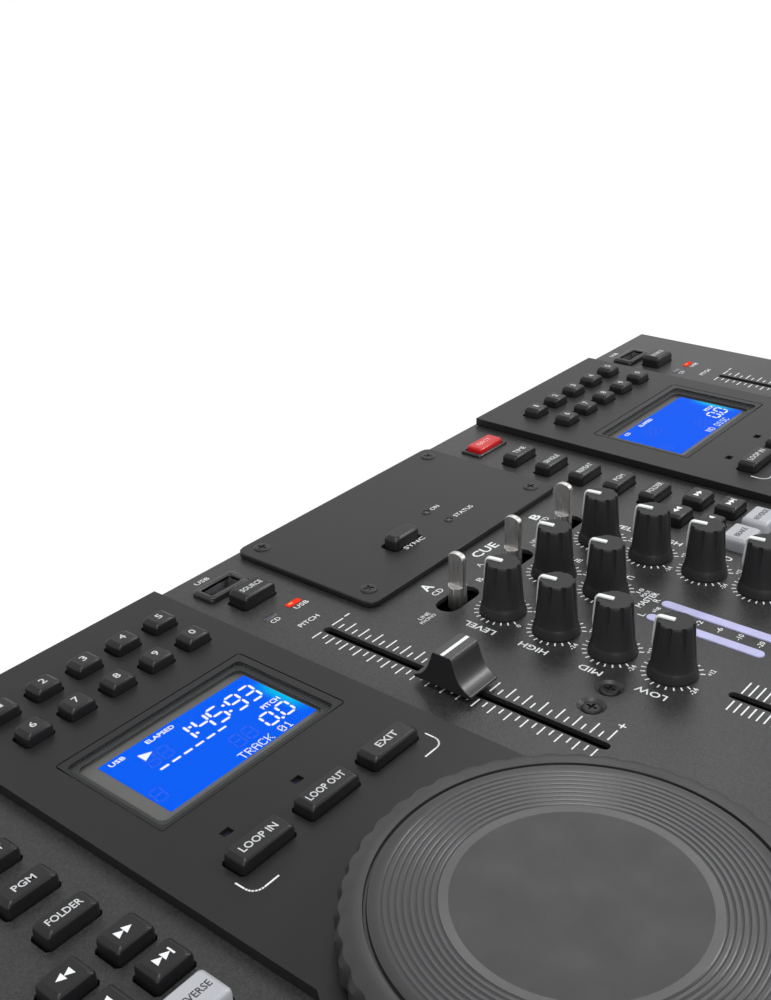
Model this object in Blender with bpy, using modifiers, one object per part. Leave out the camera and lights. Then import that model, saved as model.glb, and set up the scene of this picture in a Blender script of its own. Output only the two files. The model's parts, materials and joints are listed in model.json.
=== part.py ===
"""A desktop console with two disc players and a mixer, built as separate pieces.

Metres, +Z up. +X is the user's right and +Y the back. The origin is on the table, under the
middle of the console. Places on the top are measured from the back edge towards the user, and
those on a deck also from the deck's own centre line.
"""

import bmesh
import bpy
from math import pi, radians
from mathutils import Matrix, Vector

# Sheets and gaps shared by many pieces
cover_sheet = 0.0015
pan_sheet = 0.0012
seat_gap = 0.0003
cut_overrun = 0.002
merge_distance = 0.00001
slot_end_share = 0.49

# Height of the body, and the feet under it
body_height = 0.0717
foot_height = 0.008
foot_radius = 0.010
foot_top_radius = 0.0085
foot_inset = 0.030
foot_sides = 24

# Top cover
cover_skirt = 0.058
cover_lip = 0.010
side_margin = 0.0309
front_margin = 0.0190
rear_recess = 0.0055

# Decks, raised panels and their screens
deck_offset = 0.1283
panel_left = 0.0442
panel_right = 0.0420
panel_back = 0.0009
panel_rise = 0.0032
panel_ledge = 0.0040
window_left = 0.0315
window_right = 0.0326
window_back = 0.0480
window_depth = 0.0400
window_thickness = 0.0015
window_sink = 0.0001
window_corner = 0.0012
window_corner_steps = 2
module_height = 0.0070
module_inset = 0.0010
module_leg = 0.0030
indicator_width = 0.0030
indicator_depth = 0.0022
indicator_back = 0.1002
indicator_places = (-0.0226, 0.0012)

# Jog wheels
jog_back = 0.1815
jog_radius = 0.0500
jog_top_radius = 0.0455
jog_height = 0.0105
jog_rim_height = 0.0065
jog_dish_radius = 0.0400
jog_dish = 0.0010
jog_shaft_radius = 0.0060
jog_shaft_length = 0.0150
jog_sides = 48
pad_margin = 0.0045
boss_wall = 0.0040
boss_length = 0.0120
shaft_clearance = 0.0003

# Keys
key_clearance = 0.00035
web_thickness = 0.0015
web_margin = 0.0012
key_corner = 0.0009
key_shoulder = 0.0010
key_slope_x = 0.0015
key_slope_y = 0.0007
key_facing_share = 0.9
number_width = 0.0088
number_depth = 0.0068
number_rise = 0.0033
number_right = 0.0289
number_pitch = 0.01395
number_back = 0.0183
number_row_pitch = 0.0145
number_columns = 5
number_rows = 2
loop_width = 0.0174
loop_depth = 0.0069
loop_rise = 0.0035
loop_pitch = 0.0227
loop_middle = 0.0007
loop_back = 0.1104
function_x = -0.0620
function_width = 0.0144
function_depth = 0.0064
function_rise = 0.0040
function_back = 0.0339
function_pitch = 0.01435
function_count = 5
search_right = -0.0577
search_pitch = 0.0155
search_width = 0.0108
search_depth = 0.0078
search_back = 0.1058
search_row_pitch = 0.0121
pale_width = 0.0126
pale_depth = 0.0094
pale_shift = -0.0027
pale_back = 0.1303
eject_x = -0.0607
eject_back = 0.0168
eject_width = 0.0148
eject_depth = 0.0070
eject_rise = 0.0027
source_x = 0.0606
source_back = 0.0250
source_width = 0.0138
source_depth = 0.0081
source_rise = 0.0045
cue_x = -0.0660
cue_back = 0.2180
play_gap = 0.0085
cue_width = 0.0200
cue_depth = 0.0135
cue_rise = 0.0040

# Faders
slot_width = 0.0030
slot_end_steps = 3
pitch_x = 0.0608
pitch_back = 0.0552
pitch_length = 0.0972
channel_x = 0.0280
knob_to_channel = 0.0167
channel_length = 0.0600
channel_rest_share = 0.55
channel_to_cross = 0.0204
cross_length = 0.0600
cap_width = 0.0123
cap_length = 0.0195
cap_height = 0.0122
cap_lift = 0.0003
cap_edge = 0.0013
cap_top_length = 0.0062
cap_hollow = 2.6
cap_steps = 6
stem_length = 0.0060
stem_thickness = 0.0016
stem_reach = 0.0045
fader_body_width = 0.0090
fader_body_margin = 0.0060
fader_body_drop = 0.0040

# Knobs
knob_x = 0.0280
knob_back = 0.0922
knob_pitch = 0.0189
knob_count = 4
centre_knob_count = 2
knob_height = 0.0170
knob_skirt_radius = 0.00715
knob_skirt_height = 0.0030
knob_low_radius = 0.0062
knob_top_radius = 0.0052
knob_shaft_radius = 0.0030
knob_shaft_drop = 0.0062
knob_steps = 16
pot_size = 0.0100

# Switch levers
lever_pitch = 0.0300
lever_back = 0.0766
lever_slot_length = 0.0164
lever_slot_width = 0.0072
lever_height = 0.0158
lever_paddle_low = 0.0052
lever_paddle_width = 0.0060
lever_paddle_thickness = 0.0022
lever_stem_radius = 0.0024
lever_foot_share = 0.7
lever_pivot_drop = 0.0112
lever_ball_radius = 0.0025
lever_sides = 12
lever_ball_rings = 6

# Wireless receiver plate behind the levers
plate_half_width = 0.0515
plate_back = 0.0010
plate_front = 0.0604
plate_rise = 0.0022
plate_corner = 0.0035
plate_corner_steps = 3
receiver_ledge = 0.0060
button_x = -0.0143
button_back = 0.0417
button_width = 0.0134
button_depth = 0.0062
button_rise = 0.0040

# Light bars of the level meter
meter_x = 0.00475
meter_width = 0.0033
knob_to_meter = 0.0183
meter_length = 0.0363

# Circuit board under the top cover
board_drop = 0.0140
board_thickness = 0.0016
board_side_gap = 0.0030
board_end_gap = 0.0040
post_radius = 0.0030
post_inset = 0.0080
front_post_x = 0.0430
post_sides = 12

# Memory stick sockets
stick_x = 0.0587
stick_back = 0.0131
stick_width = 0.0160
stick_depth = 0.0090
stick_rise = 0.0015
stick_slot_width = 0.0126
stick_slot_depth = 0.0052
stick_slot_length = 0.0120

# Jack sockets at the front and phono sockets at the rear
jack_x = 0.0160
jack_drop = 0.0240
jack_block = 0.0150
jack_block_depth = 0.0160
jack_nose_radius = 0.0048
jack_bore_radius = 0.0034
jack_bore_length = 0.0140
phono_pitch = 0.0160
phono_count = 8
phono_x = -0.1500
phono_drop = 0.0240
phono_block_height = 0.0140
phono_block_depth = 0.0100
phono_radius = 0.0042
phono_length = 0.0050
phono_clearance = 0.0005
socket_sides = 16

# Mains inlet, switch and power supply
supply_left = 0.1000
supply_right = 0.2000
supply_depth = 0.0560
supply_lift = 0.0040
supply_board = 0.0016
transformer_width = 0.0340
transformer_depth = 0.0300
transformer_height = 0.0240
inlet_x = 0.1800
inlet_height = 0.0300
inlet_width = 0.0270
inlet_tall = 0.0200
inlet_depth = 0.0200
inlet_wall = 0.0015
inlet_floor = 0.0040
inlet_flange = 0.0025
pin_thickness = 0.0020
pin_width = 0.0040
pin_length = 0.0120
pin_pitch = 0.0070
pin_rise = 0.0020
switch_x = 0.1450
switch_width = 0.0120
switch_tall = 0.0180
switch_depth = 0.0080
switch_tilt = radians(6)
switch_clearance = 0.0006

# Disc trays and their drives
tray_width = 0.1280
tray_length = 0.1550
disc_inset = 0.0660
tray_height = 0.0080
tray_floor = 0.0016
tray_wall = 0.0020
tray_side_gap = 0.0005
tray_level = 0.0380
door_height = 0.0150
door_thickness = 0.0025
door_gap = 0.0006
door_drop = 0.0012
lens_slot_width = 0.0300
lens_slot_front = 0.0200
lens_slot_back = 0.0500
frame_wall = 0.0025
frame_floor = 0.0020
frame_length = 0.1650
frame_above_tray = 0.0040
rail_width = 0.0030
rail_height = 0.0030
motor_radius = 0.0120
turntable_radius = 0.0140
turntable_height = 0.0040
hub_radius = 0.0070
hub_height = 0.0012
spindle_radius = 0.0016
spindle_length = 0.0060
turntable_steps = 20
tray_over_turntable = 0.0005

# Front panel
front_panel_thickness = 0.0030

# Places worked out from the sizes above
channel_back = knob_back + (knob_count - 1) * knob_pitch + knob_to_channel
cross_back = channel_back + channel_length + channel_to_cross
meter_back = knob_back + (centre_knob_count - 1) * knob_pitch + knob_to_meter
console_half_width = deck_offset + pitch_x + side_margin
console_depth = cross_back + front_margin
back_edge = console_depth / 2
front_edge = -back_edge
pan_bottom = foot_height + seat_gap
pan_floor = pan_bottom + pan_sheet
plate_top = foot_height + body_height + seat_gap
plate_under = plate_top - cover_sheet
panel_top = plate_top + panel_rise
panel_under = plate_top + seat_gap
pan_half_width = console_half_width - cover_sheet - seat_gap
rear_wall = back_edge - rear_recess
board_top = plate_top - board_drop
board_under = board_top - board_thickness
jog_x = (panel_right - panel_left) / 2
front_panel_outer = front_edge + cover_sheet + seat_gap
front_panel_inner = front_panel_outer + front_panel_thickness
tray_front = front_edge + door_thickness
disc_y = tray_front + disc_inset
door_width = tray_width + 2 * (tray_side_gap + frame_wall)
turntable_top = tray_level - tray_over_turntable - hub_height
channel_y_rest = back_edge - channel_back - channel_length * channel_rest_share
decks = {"left": -deck_offset, "right": deck_offset}
channels = {"a": -channel_x, "b": channel_x}
mixer_columns = {"a": -knob_x, "b": knob_x}
tone_names = ("level", "high", "mid", "low")
centre_names = ("cue_level", "mic_level")
lever_names = ("source_lever_a", "cue_lever", "source_lever_b")


def clear_scene():
    for old in list(bpy.data.objects):
        bpy.data.objects.remove(old, do_unlink=True)


def new_collection(name):
    collection = bpy.data.collections.new(name)
    bpy.context.scene.collection.children.link(collection)
    return collection


def make_finish(name, colour, roughness, metallic=0.0):
    finish = bpy.data.materials.new(name)
    finish.use_nodes = True
    shader = finish.node_tree.nodes["Principled BSDF"]
    shader.inputs["Base Color"].default_value = (*colour, 1.0)
    shader.inputs["Roughness"].default_value = roughness
    shader.inputs["Metallic"].default_value = metallic
    return finish


clear_scene()
console = new_collection("dual_disc_console")
tools = new_collection("cutters")
finishes = {
    "steel_grey": make_finish("steel_grey", (0.065, 0.065, 0.068), 0.55, 0.2),
    "panel_dark": make_finish("panel_dark", (0.045, 0.045, 0.047), 0.5),
    "black": make_finish("black", (0.02, 0.02, 0.021), 0.45),
    "rubber": make_finish("rubber", (0.03, 0.03, 0.03), 0.8),
    "zinc": make_finish("zinc", (0.55, 0.56, 0.57), 0.4, 0.9),
    "nickel": make_finish("nickel", (0.62, 0.61, 0.58), 0.25, 1.0),
    "glass": make_finish("glass", (0.5, 0.52, 0.55), 0.1),
    "screen_blue": make_finish("screen_blue", (0.02, 0.16, 0.9), 0.3),
    "eject_red": make_finish("eject_red", (0.7, 0.03, 0.03), 0.35),
    "board_green": make_finish("board_green", (0.03, 0.16, 0.07), 0.5),
}


def from_back(distance):
    """The Y of a place this far in front of the back edge."""
    return back_edge - distance


def add_box(bm, low, high, corner=0, steps=1):
    """A box between two corners, with its upright edges rounded when a corner is given."""
    size = Vector(high) - Vector(low)
    middle = (Vector(high) + Vector(low)) / 2
    shape = Matrix.Translation(middle) @ Matrix.Diagonal((*size, 1))
    made = bmesh.ops.create_cube(bm, size=1, matrix=shape)
    if corner:
        edges = dict.fromkeys(edge for vert in made["verts"] for edge in vert.link_edges)
        upright = [edge for edge in edges if edge_is_upright(edge)]
        bmesh.ops.bevel(bm, geom=upright, offset=corner, segments=steps, profile=0.5, affect="EDGES")


def edge_is_upright(edge):
    run = edge.verts[0].co - edge.verts[1].co
    return abs(run.z) > abs(run.x) + abs(run.y)


def add_centred_box(bm, x, y, width, depth, low_z, high_z, corner=0, steps=1):
    add_box(bm, (x - width / 2, y - depth / 2, low_z), (x + width / 2, y + depth / 2, high_z), corner, steps)


def add_round(bm, x, y, low_z, high_z, low_radius, high_radius, sides):
    """An upright cylinder or cone."""
    middle = Matrix.Translation((x, y, (low_z + high_z) / 2))
    bmesh.ops.create_cone(bm, cap_ends=True, segments=sides, radius1=low_radius, radius2=high_radius,
                          depth=high_z - low_z, matrix=middle)


def add_round_along_y(bm, x, z, low_y, high_y, radius, sides):
    """A cylinder that lies from front to back."""
    middle = Matrix.Translation((x, (low_y + high_y) / 2, z)) @ Matrix.Rotation(pi / 2, 4, "X")
    bmesh.ops.create_cone(bm, cap_ends=True, segments=sides, radius1=radius, radius2=radius,
                          depth=high_y - low_y, matrix=middle)


def make_object(name, bm, place, finish, collection=None):
    mesh = bpy.data.meshes.new(name)
    bm.to_mesh(mesh)
    bm.free()
    mesh.materials.append(finishes[finish])
    piece = bpy.data.objects.new(name, mesh)
    piece.location = place
    (collection or console).objects.link(piece)
    return piece


def combine(piece, bm, operation, label):
    """Join a shape to a piece or cut it out. The shape is in the piece's own axes."""
    tool = make_object(piece.name + "_" + label, bm, piece.location, "steel_grey", tools)
    tool.rotation_euler = piece.rotation_euler
    tool.hide_render = True
    tool.display_type = "WIRE"
    modifier = piece.modifiers.new(label, "BOOLEAN")
    modifier.operation = operation
    modifier.solver = "EXACT"
    modifier.object = tool


def turned(name, profile, steps, place, finish):
    """A turned piece: the profile runs from the axis at the top, down the outside, to the axis."""
    mesh = bpy.data.meshes.new(name)
    corners = [(radius, 0, height) for radius, height in profile]
    mesh.from_pydata(corners, [(i, i + 1) for i in range(len(corners) - 1)], [])
    mesh.materials.append(finishes[finish])
    piece = bpy.data.objects.new(name, mesh)
    piece.location = place
    console.objects.link(piece)
    screw = piece.modifiers.new("turn", "SCREW")
    screw.steps = steps
    screw.render_steps = steps
    screw.use_merge_vertices = True
    screw.merge_threshold = merge_distance
    screw.use_normal_calculate = False
    return piece


# Feet
def make_feet():
    foot_x = console_half_width - foot_inset
    for end, y in (("front", front_edge + foot_inset), ("back", rear_wall - foot_inset)):
        for side, x in (("left", -foot_x), ("right", foot_x)):
            bm = bmesh.new()
            add_round(bm, 0, 0, 0, foot_height, foot_radius, foot_top_radius, foot_sides)
            make_object(f"foot_{end}_{side}", bm, (x, y, 0), "rubber")


# Steel base pan: a floor, two side walls and the rear wall with its cut-outs
def make_base_pan():
    top = plate_under - seat_gap
    bm = bmesh.new()
    add_box(bm, (-pan_half_width, front_panel_inner, pan_bottom), (pan_half_width, rear_wall, top))
    pan = make_object("base_pan", bm, (0, 0, 0), "steel_grey")
    inside = bmesh.new()
    add_box(inside, (pan_sheet - pan_half_width, front_panel_inner - cut_overrun, pan_floor),
            (pan_half_width - pan_sheet, rear_wall - pan_sheet, top + cut_overrun))
    combine(pan, inside, "DIFFERENCE", "inside")
    tongue = bmesh.new()
    add_box(tongue, (pan_sheet - pan_half_width, front_panel_outer, pan_bottom),
            (pan_half_width - pan_sheet, front_panel_inner + cut_overrun, pan_floor))
    combine(pan, tongue, "UNION", "tongue")
    holes = bmesh.new()
    low, high = rear_wall - pan_sheet - cut_overrun, rear_wall + cut_overrun
    for index in range(phono_count):
        add_round_along_y(holes, phono_x + index * phono_pitch, plate_top - phono_drop, low, high,
                          phono_radius + phono_clearance, socket_sides)
    half = inlet_width / 2 + seat_gap
    tall = inlet_tall / 2 + seat_gap
    add_box(holes, (inlet_x - half, low, inlet_height - tall), (inlet_x + half, high, inlet_height + tall))
    half = switch_width / 2 + seat_gap
    tall = switch_tall / 2 + switch_clearance
    add_box(holes, (switch_x - half, low, inlet_height - tall), (switch_x + half, high, inlet_height + tall))
    combine(pan, holes, "DIFFERENCE", "holes")


# Places and sizes of the keys that come up through the top cover, in the deck's own axes
def function_places():
    return [(function_x, function_back + row * function_pitch, function_width, function_depth)
            for row in range(function_count)]


def search_places():
    columns = (search_right, search_right - search_pitch)
    rows = (search_back, search_back + search_row_pitch)
    keys = [(x, back, search_width, search_depth) for back in rows for x in columns]
    keys += [(x + pale_shift, pale_back, pale_width, pale_depth) for x in columns]
    return keys


def single_places():
    return {
        "eject_key": (eject_x, eject_back, eject_width, eject_depth, eject_rise, "eject_red"),
        "source_key": (source_x, source_back, source_width, source_depth, source_rise, "black"),
        "cue_key": (cue_x, cue_back, cue_width, cue_depth, cue_rise, "black"),
        "play_key": (cue_x, cue_back + cue_depth + play_gap, cue_width, cue_depth, cue_rise, "black"),
    }


def number_places():
    columns = [number_right - step * number_pitch for step in range(number_columns)]
    rows = [number_back + step * number_row_pitch for step in range(number_rows)]
    return [(x, back, number_width, number_depth) for back in rows for x in columns]


def loop_places():
    return [(loop_middle + step * loop_pitch, loop_back, loop_width, loop_depth) for step in (-1, 0, 1)]


def add_slot(bm, x, y, width, depth, low_z, high_z):
    """A slot with round ends along its longer side."""
    add_centred_box(bm, x, y, width, depth, low_z, high_z, min(width, depth) * slot_end_share, slot_end_steps)


# Top cover: a folded steel sheet with every opening of the controls
def make_top_cover():
    bm = bmesh.new()
    add_box(bm, (-console_half_width, front_edge, plate_under), (console_half_width, back_edge, plate_top))
    cover = make_object("top_cover", bm, (0, 0, 0), "steel_grey")
    middle = plate_under + cover_sheet / 2
    skirts = bmesh.new()
    for side in (-1, 1):
        inner = side * (console_half_width - cover_sheet)
        outer = side * console_half_width
        add_box(skirts, (min(inner, outer), front_edge, plate_top - cover_skirt),
                (max(inner, outer), back_edge, middle))
    combine(cover, skirts, "UNION", "skirts")
    lip = bmesh.new()
    add_box(lip, (cover_sheet / 2 - console_half_width, front_edge, plate_top - cover_lip),
            (console_half_width - cover_sheet / 2, front_edge + cover_sheet, middle))
    combine(cover, lip, "UNION", "lip")
    low, high = plate_under - cut_overrun, plate_top + cut_overrun
    holes = bmesh.new()
    for x in decks.values():
        opening_front = from_back(jog_back + jog_shaft_radius + 2 * boss_wall)
        add_box(holes, (x - panel_left + panel_ledge, opening_front, low),
                (x + panel_right - panel_ledge, from_back(panel_back + panel_ledge), high))
        singles = [key[:4] for key in single_places().values()]
        for key_x, back, width, depth in function_places() + search_places() + singles:
            add_centred_box(holes, x + key_x, from_back(back), width + 2 * key_clearance,
                            depth + 2 * key_clearance, low, high, key_corner)
        add_centred_box(holes, x + stick_x, from_back(stick_back), stick_width + 2 * seat_gap,
                        stick_depth + 2 * seat_gap, low, high, key_corner)
        add_slot(holes, x + pitch_x, from_back(pitch_back + pitch_length / 2), slot_width, pitch_length,
                 low, high)
    for x in channels.values():
        add_slot(holes, x, from_back(channel_back + channel_length / 2), slot_width, channel_length,
                 low, high)
    add_slot(holes, 0, from_back(cross_back), cross_length, slot_width, low, high)
    for x, y in knob_places().values():
        add_round(holes, x, y, low, high, knob_shaft_radius + 2 * seat_gap, knob_shaft_radius + 2 * seat_gap,
                  lever_sides)
    for step in (-1, 0, 1):
        add_slot(holes, step * lever_pitch, from_back(lever_back), lever_slot_length, lever_slot_width,
                 low, high)
    for side in (-1, 1):
        add_slot(holes, side * meter_x, from_back(meter_back + meter_length / 2), meter_width, meter_length,
                 low, high)
    add_box(holes, (receiver_ledge - plate_half_width, from_back(plate_front - receiver_ledge), low),
            (plate_half_width - receiver_ledge, from_back(plate_back + receiver_ledge), high))
    combine(cover, holes, "DIFFERENCE", "holes")


# Raised deck panel: a rectangle that widens to a round pad under the jog wheel, with its bearing
def make_deck_panel(side, x):
    jog_y = from_back(jog_back)
    bm = bmesh.new()
    add_box(bm, (x - panel_left, jog_y, panel_under), (x + panel_right, from_back(panel_back), panel_top))
    panel = make_object(f"deck_panel_{side}", bm, (0, 0, 0), "panel_dark")
    pad = bmesh.new()
    pad_radius = jog_radius + pad_margin
    add_round(pad, x + jog_x, jog_y, panel_under, panel_top, pad_radius, pad_radius, jog_sides)
    combine(panel, pad, "UNION", "pad")
    boss = bmesh.new()
    bore = jog_shaft_radius + shaft_clearance
    boss_radius = bore + boss_wall
    add_round(boss, x + jog_x, jog_y, plate_top - boss_length, (panel_under + panel_top) / 2,
              boss_radius, boss_radius, foot_sides)
    combine(panel, boss, "UNION", "boss")
    low, high = panel_under - cut_overrun, panel_top + cut_overrun
    holes = bmesh.new()
    add_round(holes, x + jog_x, jog_y, plate_top - boss_length - cut_overrun, high, bore, bore, foot_sides)
    add_box(holes, (x - window_left - seat_gap, from_back(window_back + window_depth) - seat_gap, low),
            (x + window_right + seat_gap, from_back(window_back) + seat_gap, high),
            window_corner, window_corner_steps)
    for key_x, back, width, depth in number_places() + loop_places():
        add_centred_box(holes, x + key_x, from_back(back), width + 2 * key_clearance,
                        depth + 2 * key_clearance, low, high, key_corner)
    for place in indicator_places:
        add_centred_box(holes, x + place, from_back(indicator_back), indicator_width, indicator_depth,
                        low, high)
    combine(panel, holes, "DIFFERENCE", "holes")


# Screen window and the display module under it
def make_screen(side, x):
    back, front = from_back(window_back), from_back(window_back + window_depth)
    top = panel_top - window_sink
    bm = bmesh.new()
    add_box(bm, (x - window_left, front, top - window_thickness), (x + window_right, back, top),
            window_corner, window_corner_steps)
    make_object(f"screen_window_{side}", bm, (0, 0, 0), "glass")
    module_top = top - window_thickness - seat_gap
    low = (x - window_left + module_inset, front + module_inset)
    high = (x + window_right - module_inset, back - module_inset)
    bm = bmesh.new()
    add_box(bm, (*low, module_top - module_height), (*high, module_top))
    module = make_object(f"display_module_{side}", bm, (0, 0, 0), "screen_blue")
    legs = bmesh.new()
    for leg_x in (low[0] + module_leg, high[0] - module_leg):
        for leg_y in (low[1] + module_leg, high[1] - module_leg):
            add_centred_box(legs, leg_x, leg_y, module_leg, module_leg, board_top + seat_gap,
                            module_top - module_height / 2)
    combine(module, legs, "UNION", "legs")


# Jog wheel with the shaft that turns in the panel's bearing
def make_jog_wheel(side, x):
    dish_floor = jog_height - jog_dish
    shaft_end = seat_gap - jog_shaft_length
    profile = [
        (0, dish_floor), (jog_dish_radius, dish_floor), (jog_dish_radius + jog_dish, jog_height),
        (jog_top_radius, jog_height), (jog_radius, jog_rim_height), (jog_radius, seat_gap),
        (jog_shaft_radius, seat_gap), (jog_shaft_radius, shaft_end), (0, shaft_end),
    ]
    turned(f"jog_wheel_{side}", profile, jog_sides, (x + jog_x, from_back(jog_back), panel_top), "black")


# Groups of keys moulded on one web, and single keys with their own flange
def add_shoulders(caps):
    """Draw each cap's top up to a smaller flat, so its sides end in sloped shoulders."""
    caps.normal_update()
    for top in [face for face in caps.faces if face.normal.z > key_facing_share]:
        middle = top.calc_center_median()
        drawn = bmesh.ops.extrude_face_region(caps, geom=[top])
        rim = [part for part in drawn["geom"] if isinstance(part, bmesh.types.BMVert)]
        width = max(vert.co.x for vert in rim) - min(vert.co.x for vert in rim)
        depth = max(vert.co.y for vert in rim) - min(vert.co.y for vert in rim)
        narrowing = (1 - 2 * key_slope_x / width, 1 - 2 * key_slope_y / depth, 1)
        bmesh.ops.scale(caps, vec=narrowing, space=Matrix.Translation(-middle), verts=rim)
        bmesh.ops.translate(caps, vec=(0, 0, key_shoulder), verts=rim)
        bmesh.ops.delete(caps, geom=[top], context="FACES_ONLY")


def make_keys(name, x, keys, rise, under, top, finish):
    """Keys given in the deck's axes. Their shared web lies just below the surface at under."""
    first_x = sum(key[0] for key in keys) / len(keys)
    first_back = sum(key[1] for key in keys) / len(keys)
    web_top = under - seat_gap - top
    web_low = (min(key[0] - key[2] / 2 for key in keys) - first_x - web_margin,
               first_back - max(key[1] + key[3] / 2 for key in keys) - web_margin)
    web_high = (max(key[0] + key[2] / 2 for key in keys) - first_x + web_margin,
                first_back - min(key[1] - key[3] / 2 for key in keys) + web_margin)
    bm = bmesh.new()
    add_box(bm, (*web_low, web_top - web_thickness), (*web_high, web_top))
    group = make_object(name, bm, (x + first_x, from_back(first_back), top), finish)
    caps = bmesh.new()
    for key_x, back, width, depth in keys:
        add_centred_box(caps, key_x - first_x, first_back - back, width, depth,
                        web_top - web_thickness / 2, rise - key_shoulder, key_corner)
    add_shoulders(caps)
    combine(group, caps, "UNION", "caps")


def make_deck_keys(side, x):
    make_keys(f"number_keys_{side}", x, number_places(), number_rise, panel_under, panel_top, "black")
    make_keys(f"loop_keys_{side}", x, loop_places(), loop_rise, panel_under, panel_top, "black")
    make_keys(f"function_keys_{side}", x, function_places(), function_rise, plate_under, plate_top, "black")
    make_keys(f"search_keys_{side}", x, search_places(), function_rise, plate_under, plate_top, "black")
    for name, (key_x, back, width, depth, rise, finish) in single_places().items():
        make_keys(f"{name}_{side}", x, [(key_x, back, width, depth)], rise, plate_under, plate_top, finish)


# Fader caps: a hollow-sided cap on a flat stem that runs in the cover's slot
def make_fader_cap(name, x, y, along_x=False):
    half, top_half = cap_length / 2, cap_top_length / 2
    hollow = []
    for step in range(cap_steps + 1):
        share = step / cap_steps
        run = top_half + (half - top_half) * (1 - share) ** cap_hollow
        hollow.append((run, cap_edge + (cap_height - cap_edge) * share))
    outline = [(-half, cap_lift), (half, cap_lift)] + hollow
    outline += [(-run, height) for run, height in reversed(hollow)]
    bm = bmesh.new()
    corners = [bm.verts.new((-cap_width / 2, along, height)) for along, height in outline]
    side = bm.faces.new(corners)
    drawn = bmesh.ops.extrude_face_region(bm, geom=[side])
    far_corners = [part for part in drawn["geom"] if isinstance(part, bmesh.types.BMVert)]
    bmesh.ops.translate(bm, vec=(cap_width, 0, 0), verts=far_corners)
    bmesh.ops.recalc_face_normals(bm, faces=bm.faces)
    if along_x:
        bmesh.ops.rotate(bm, matrix=Matrix.Rotation(pi / 2, 3, "Z"), verts=bm.verts)
    cap = make_object(name, bm, (x, y, plate_top), "black")
    stem = bmesh.new()
    width, depth = (stem_length, stem_thickness) if along_x else (stem_thickness, stem_length)
    add_centred_box(stem, 0, 0, width, depth, seat_gap - fader_body_drop, stem_reach)
    combine(cap, stem, "UNION", "stem")


def make_faders():
    for side, x in decks.items():
        make_fader_cap(f"pitch_fader_{side}", x + pitch_x, from_back(pitch_back + pitch_length / 2))
    for channel, x in channels.items():
        make_fader_cap(f"channel_fader_{channel}", x, channel_y_rest)
    make_fader_cap("crossfader", 0, from_back(cross_back), along_x=True)


# Rotary knobs, each with the shaft of its control
def knob_places():
    places = {}
    for channel, x in mixer_columns.items():
        for row in range(knob_count):
            places[f"{tone_names[row]}_knob_{channel}"] = (x, from_back(knob_back + row * knob_pitch))
    for row in range(centre_knob_count):
        places[f"{centre_names[row]}_knob"] = (0, from_back(knob_back + row * knob_pitch))
    return places


def make_knobs():
    profile = [
        (0, knob_height), (knob_top_radius, knob_height), (knob_low_radius, knob_skirt_height),
        (knob_skirt_radius, knob_skirt_height / 2), (knob_skirt_radius, seat_gap),
        (knob_shaft_radius, seat_gap), (knob_shaft_radius, -knob_shaft_drop), (0, -knob_shaft_drop),
    ]
    for name, (x, y) in knob_places().items():
        turned(name, profile, knob_steps, (x, y, plate_top), "black")


# Switch levers: a flat paddle on a round stem that rocks on a ball
def make_levers():
    for name, step in zip(lever_names, (-1, 0, 1)):
        bm = bmesh.new()
        bmesh.ops.create_uvsphere(bm, u_segments=lever_sides, v_segments=lever_ball_rings,
                                  radius=lever_ball_radius)
        place = (step * lever_pitch, from_back(lever_back), plate_top - lever_pivot_drop)
        lever = make_object(name, bm, place, "nickel")
        stem = bmesh.new()
        stem_top = lever_pivot_drop + lever_paddle_low
        add_round(stem, 0, 0, 0, stem_top, lever_stem_radius * lever_foot_share, lever_stem_radius,
                  lever_sides)
        combine(lever, stem, "UNION", "stem")
        paddle = bmesh.new()
        half = lever_paddle_thickness / 2
        width = lever_paddle_width / 2
        add_box(paddle, (-half, -width, stem_top - lever_stem_radius / 2),
                (half, width, lever_pivot_drop + lever_height))
        corners = [edge for edge in paddle.edges if all(v.co.z > stem_top for v in edge.verts)
                   and abs(edge.verts[0].co.x - edge.verts[1].co.x) > half]
        bmesh.ops.bevel(paddle, geom=corners, offset=width / 2, segments=2, profile=0.5, affect="EDGES")
        combine(lever, paddle, "UNION", "paddle")


# Plate of the wireless receiver, and its button
def make_receiver():
    bm = bmesh.new()
    add_box(bm, (-plate_half_width, from_back(plate_front), plate_top + seat_gap),
            (plate_half_width, from_back(plate_back), plate_top + plate_rise),
            plate_corner, plate_corner_steps)
    plate = make_object("receiver_plate", bm, (0, 0, 0), "panel_dark")
    hole = bmesh.new()
    add_centred_box(hole, button_x, from_back(button_back), button_width + 2 * key_clearance,
                    button_depth + 2 * key_clearance, plate_top - cut_overrun,
                    plate_top + plate_rise + cut_overrun, key_corner)
    combine(plate, hole, "DIFFERENCE", "button_hole")
    button = (button_x, button_back, button_width, button_depth)
    make_keys("receiver_button", 0, [button], button_rise, plate_top + seat_gap, plate_top + plate_rise,
              "black")


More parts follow.
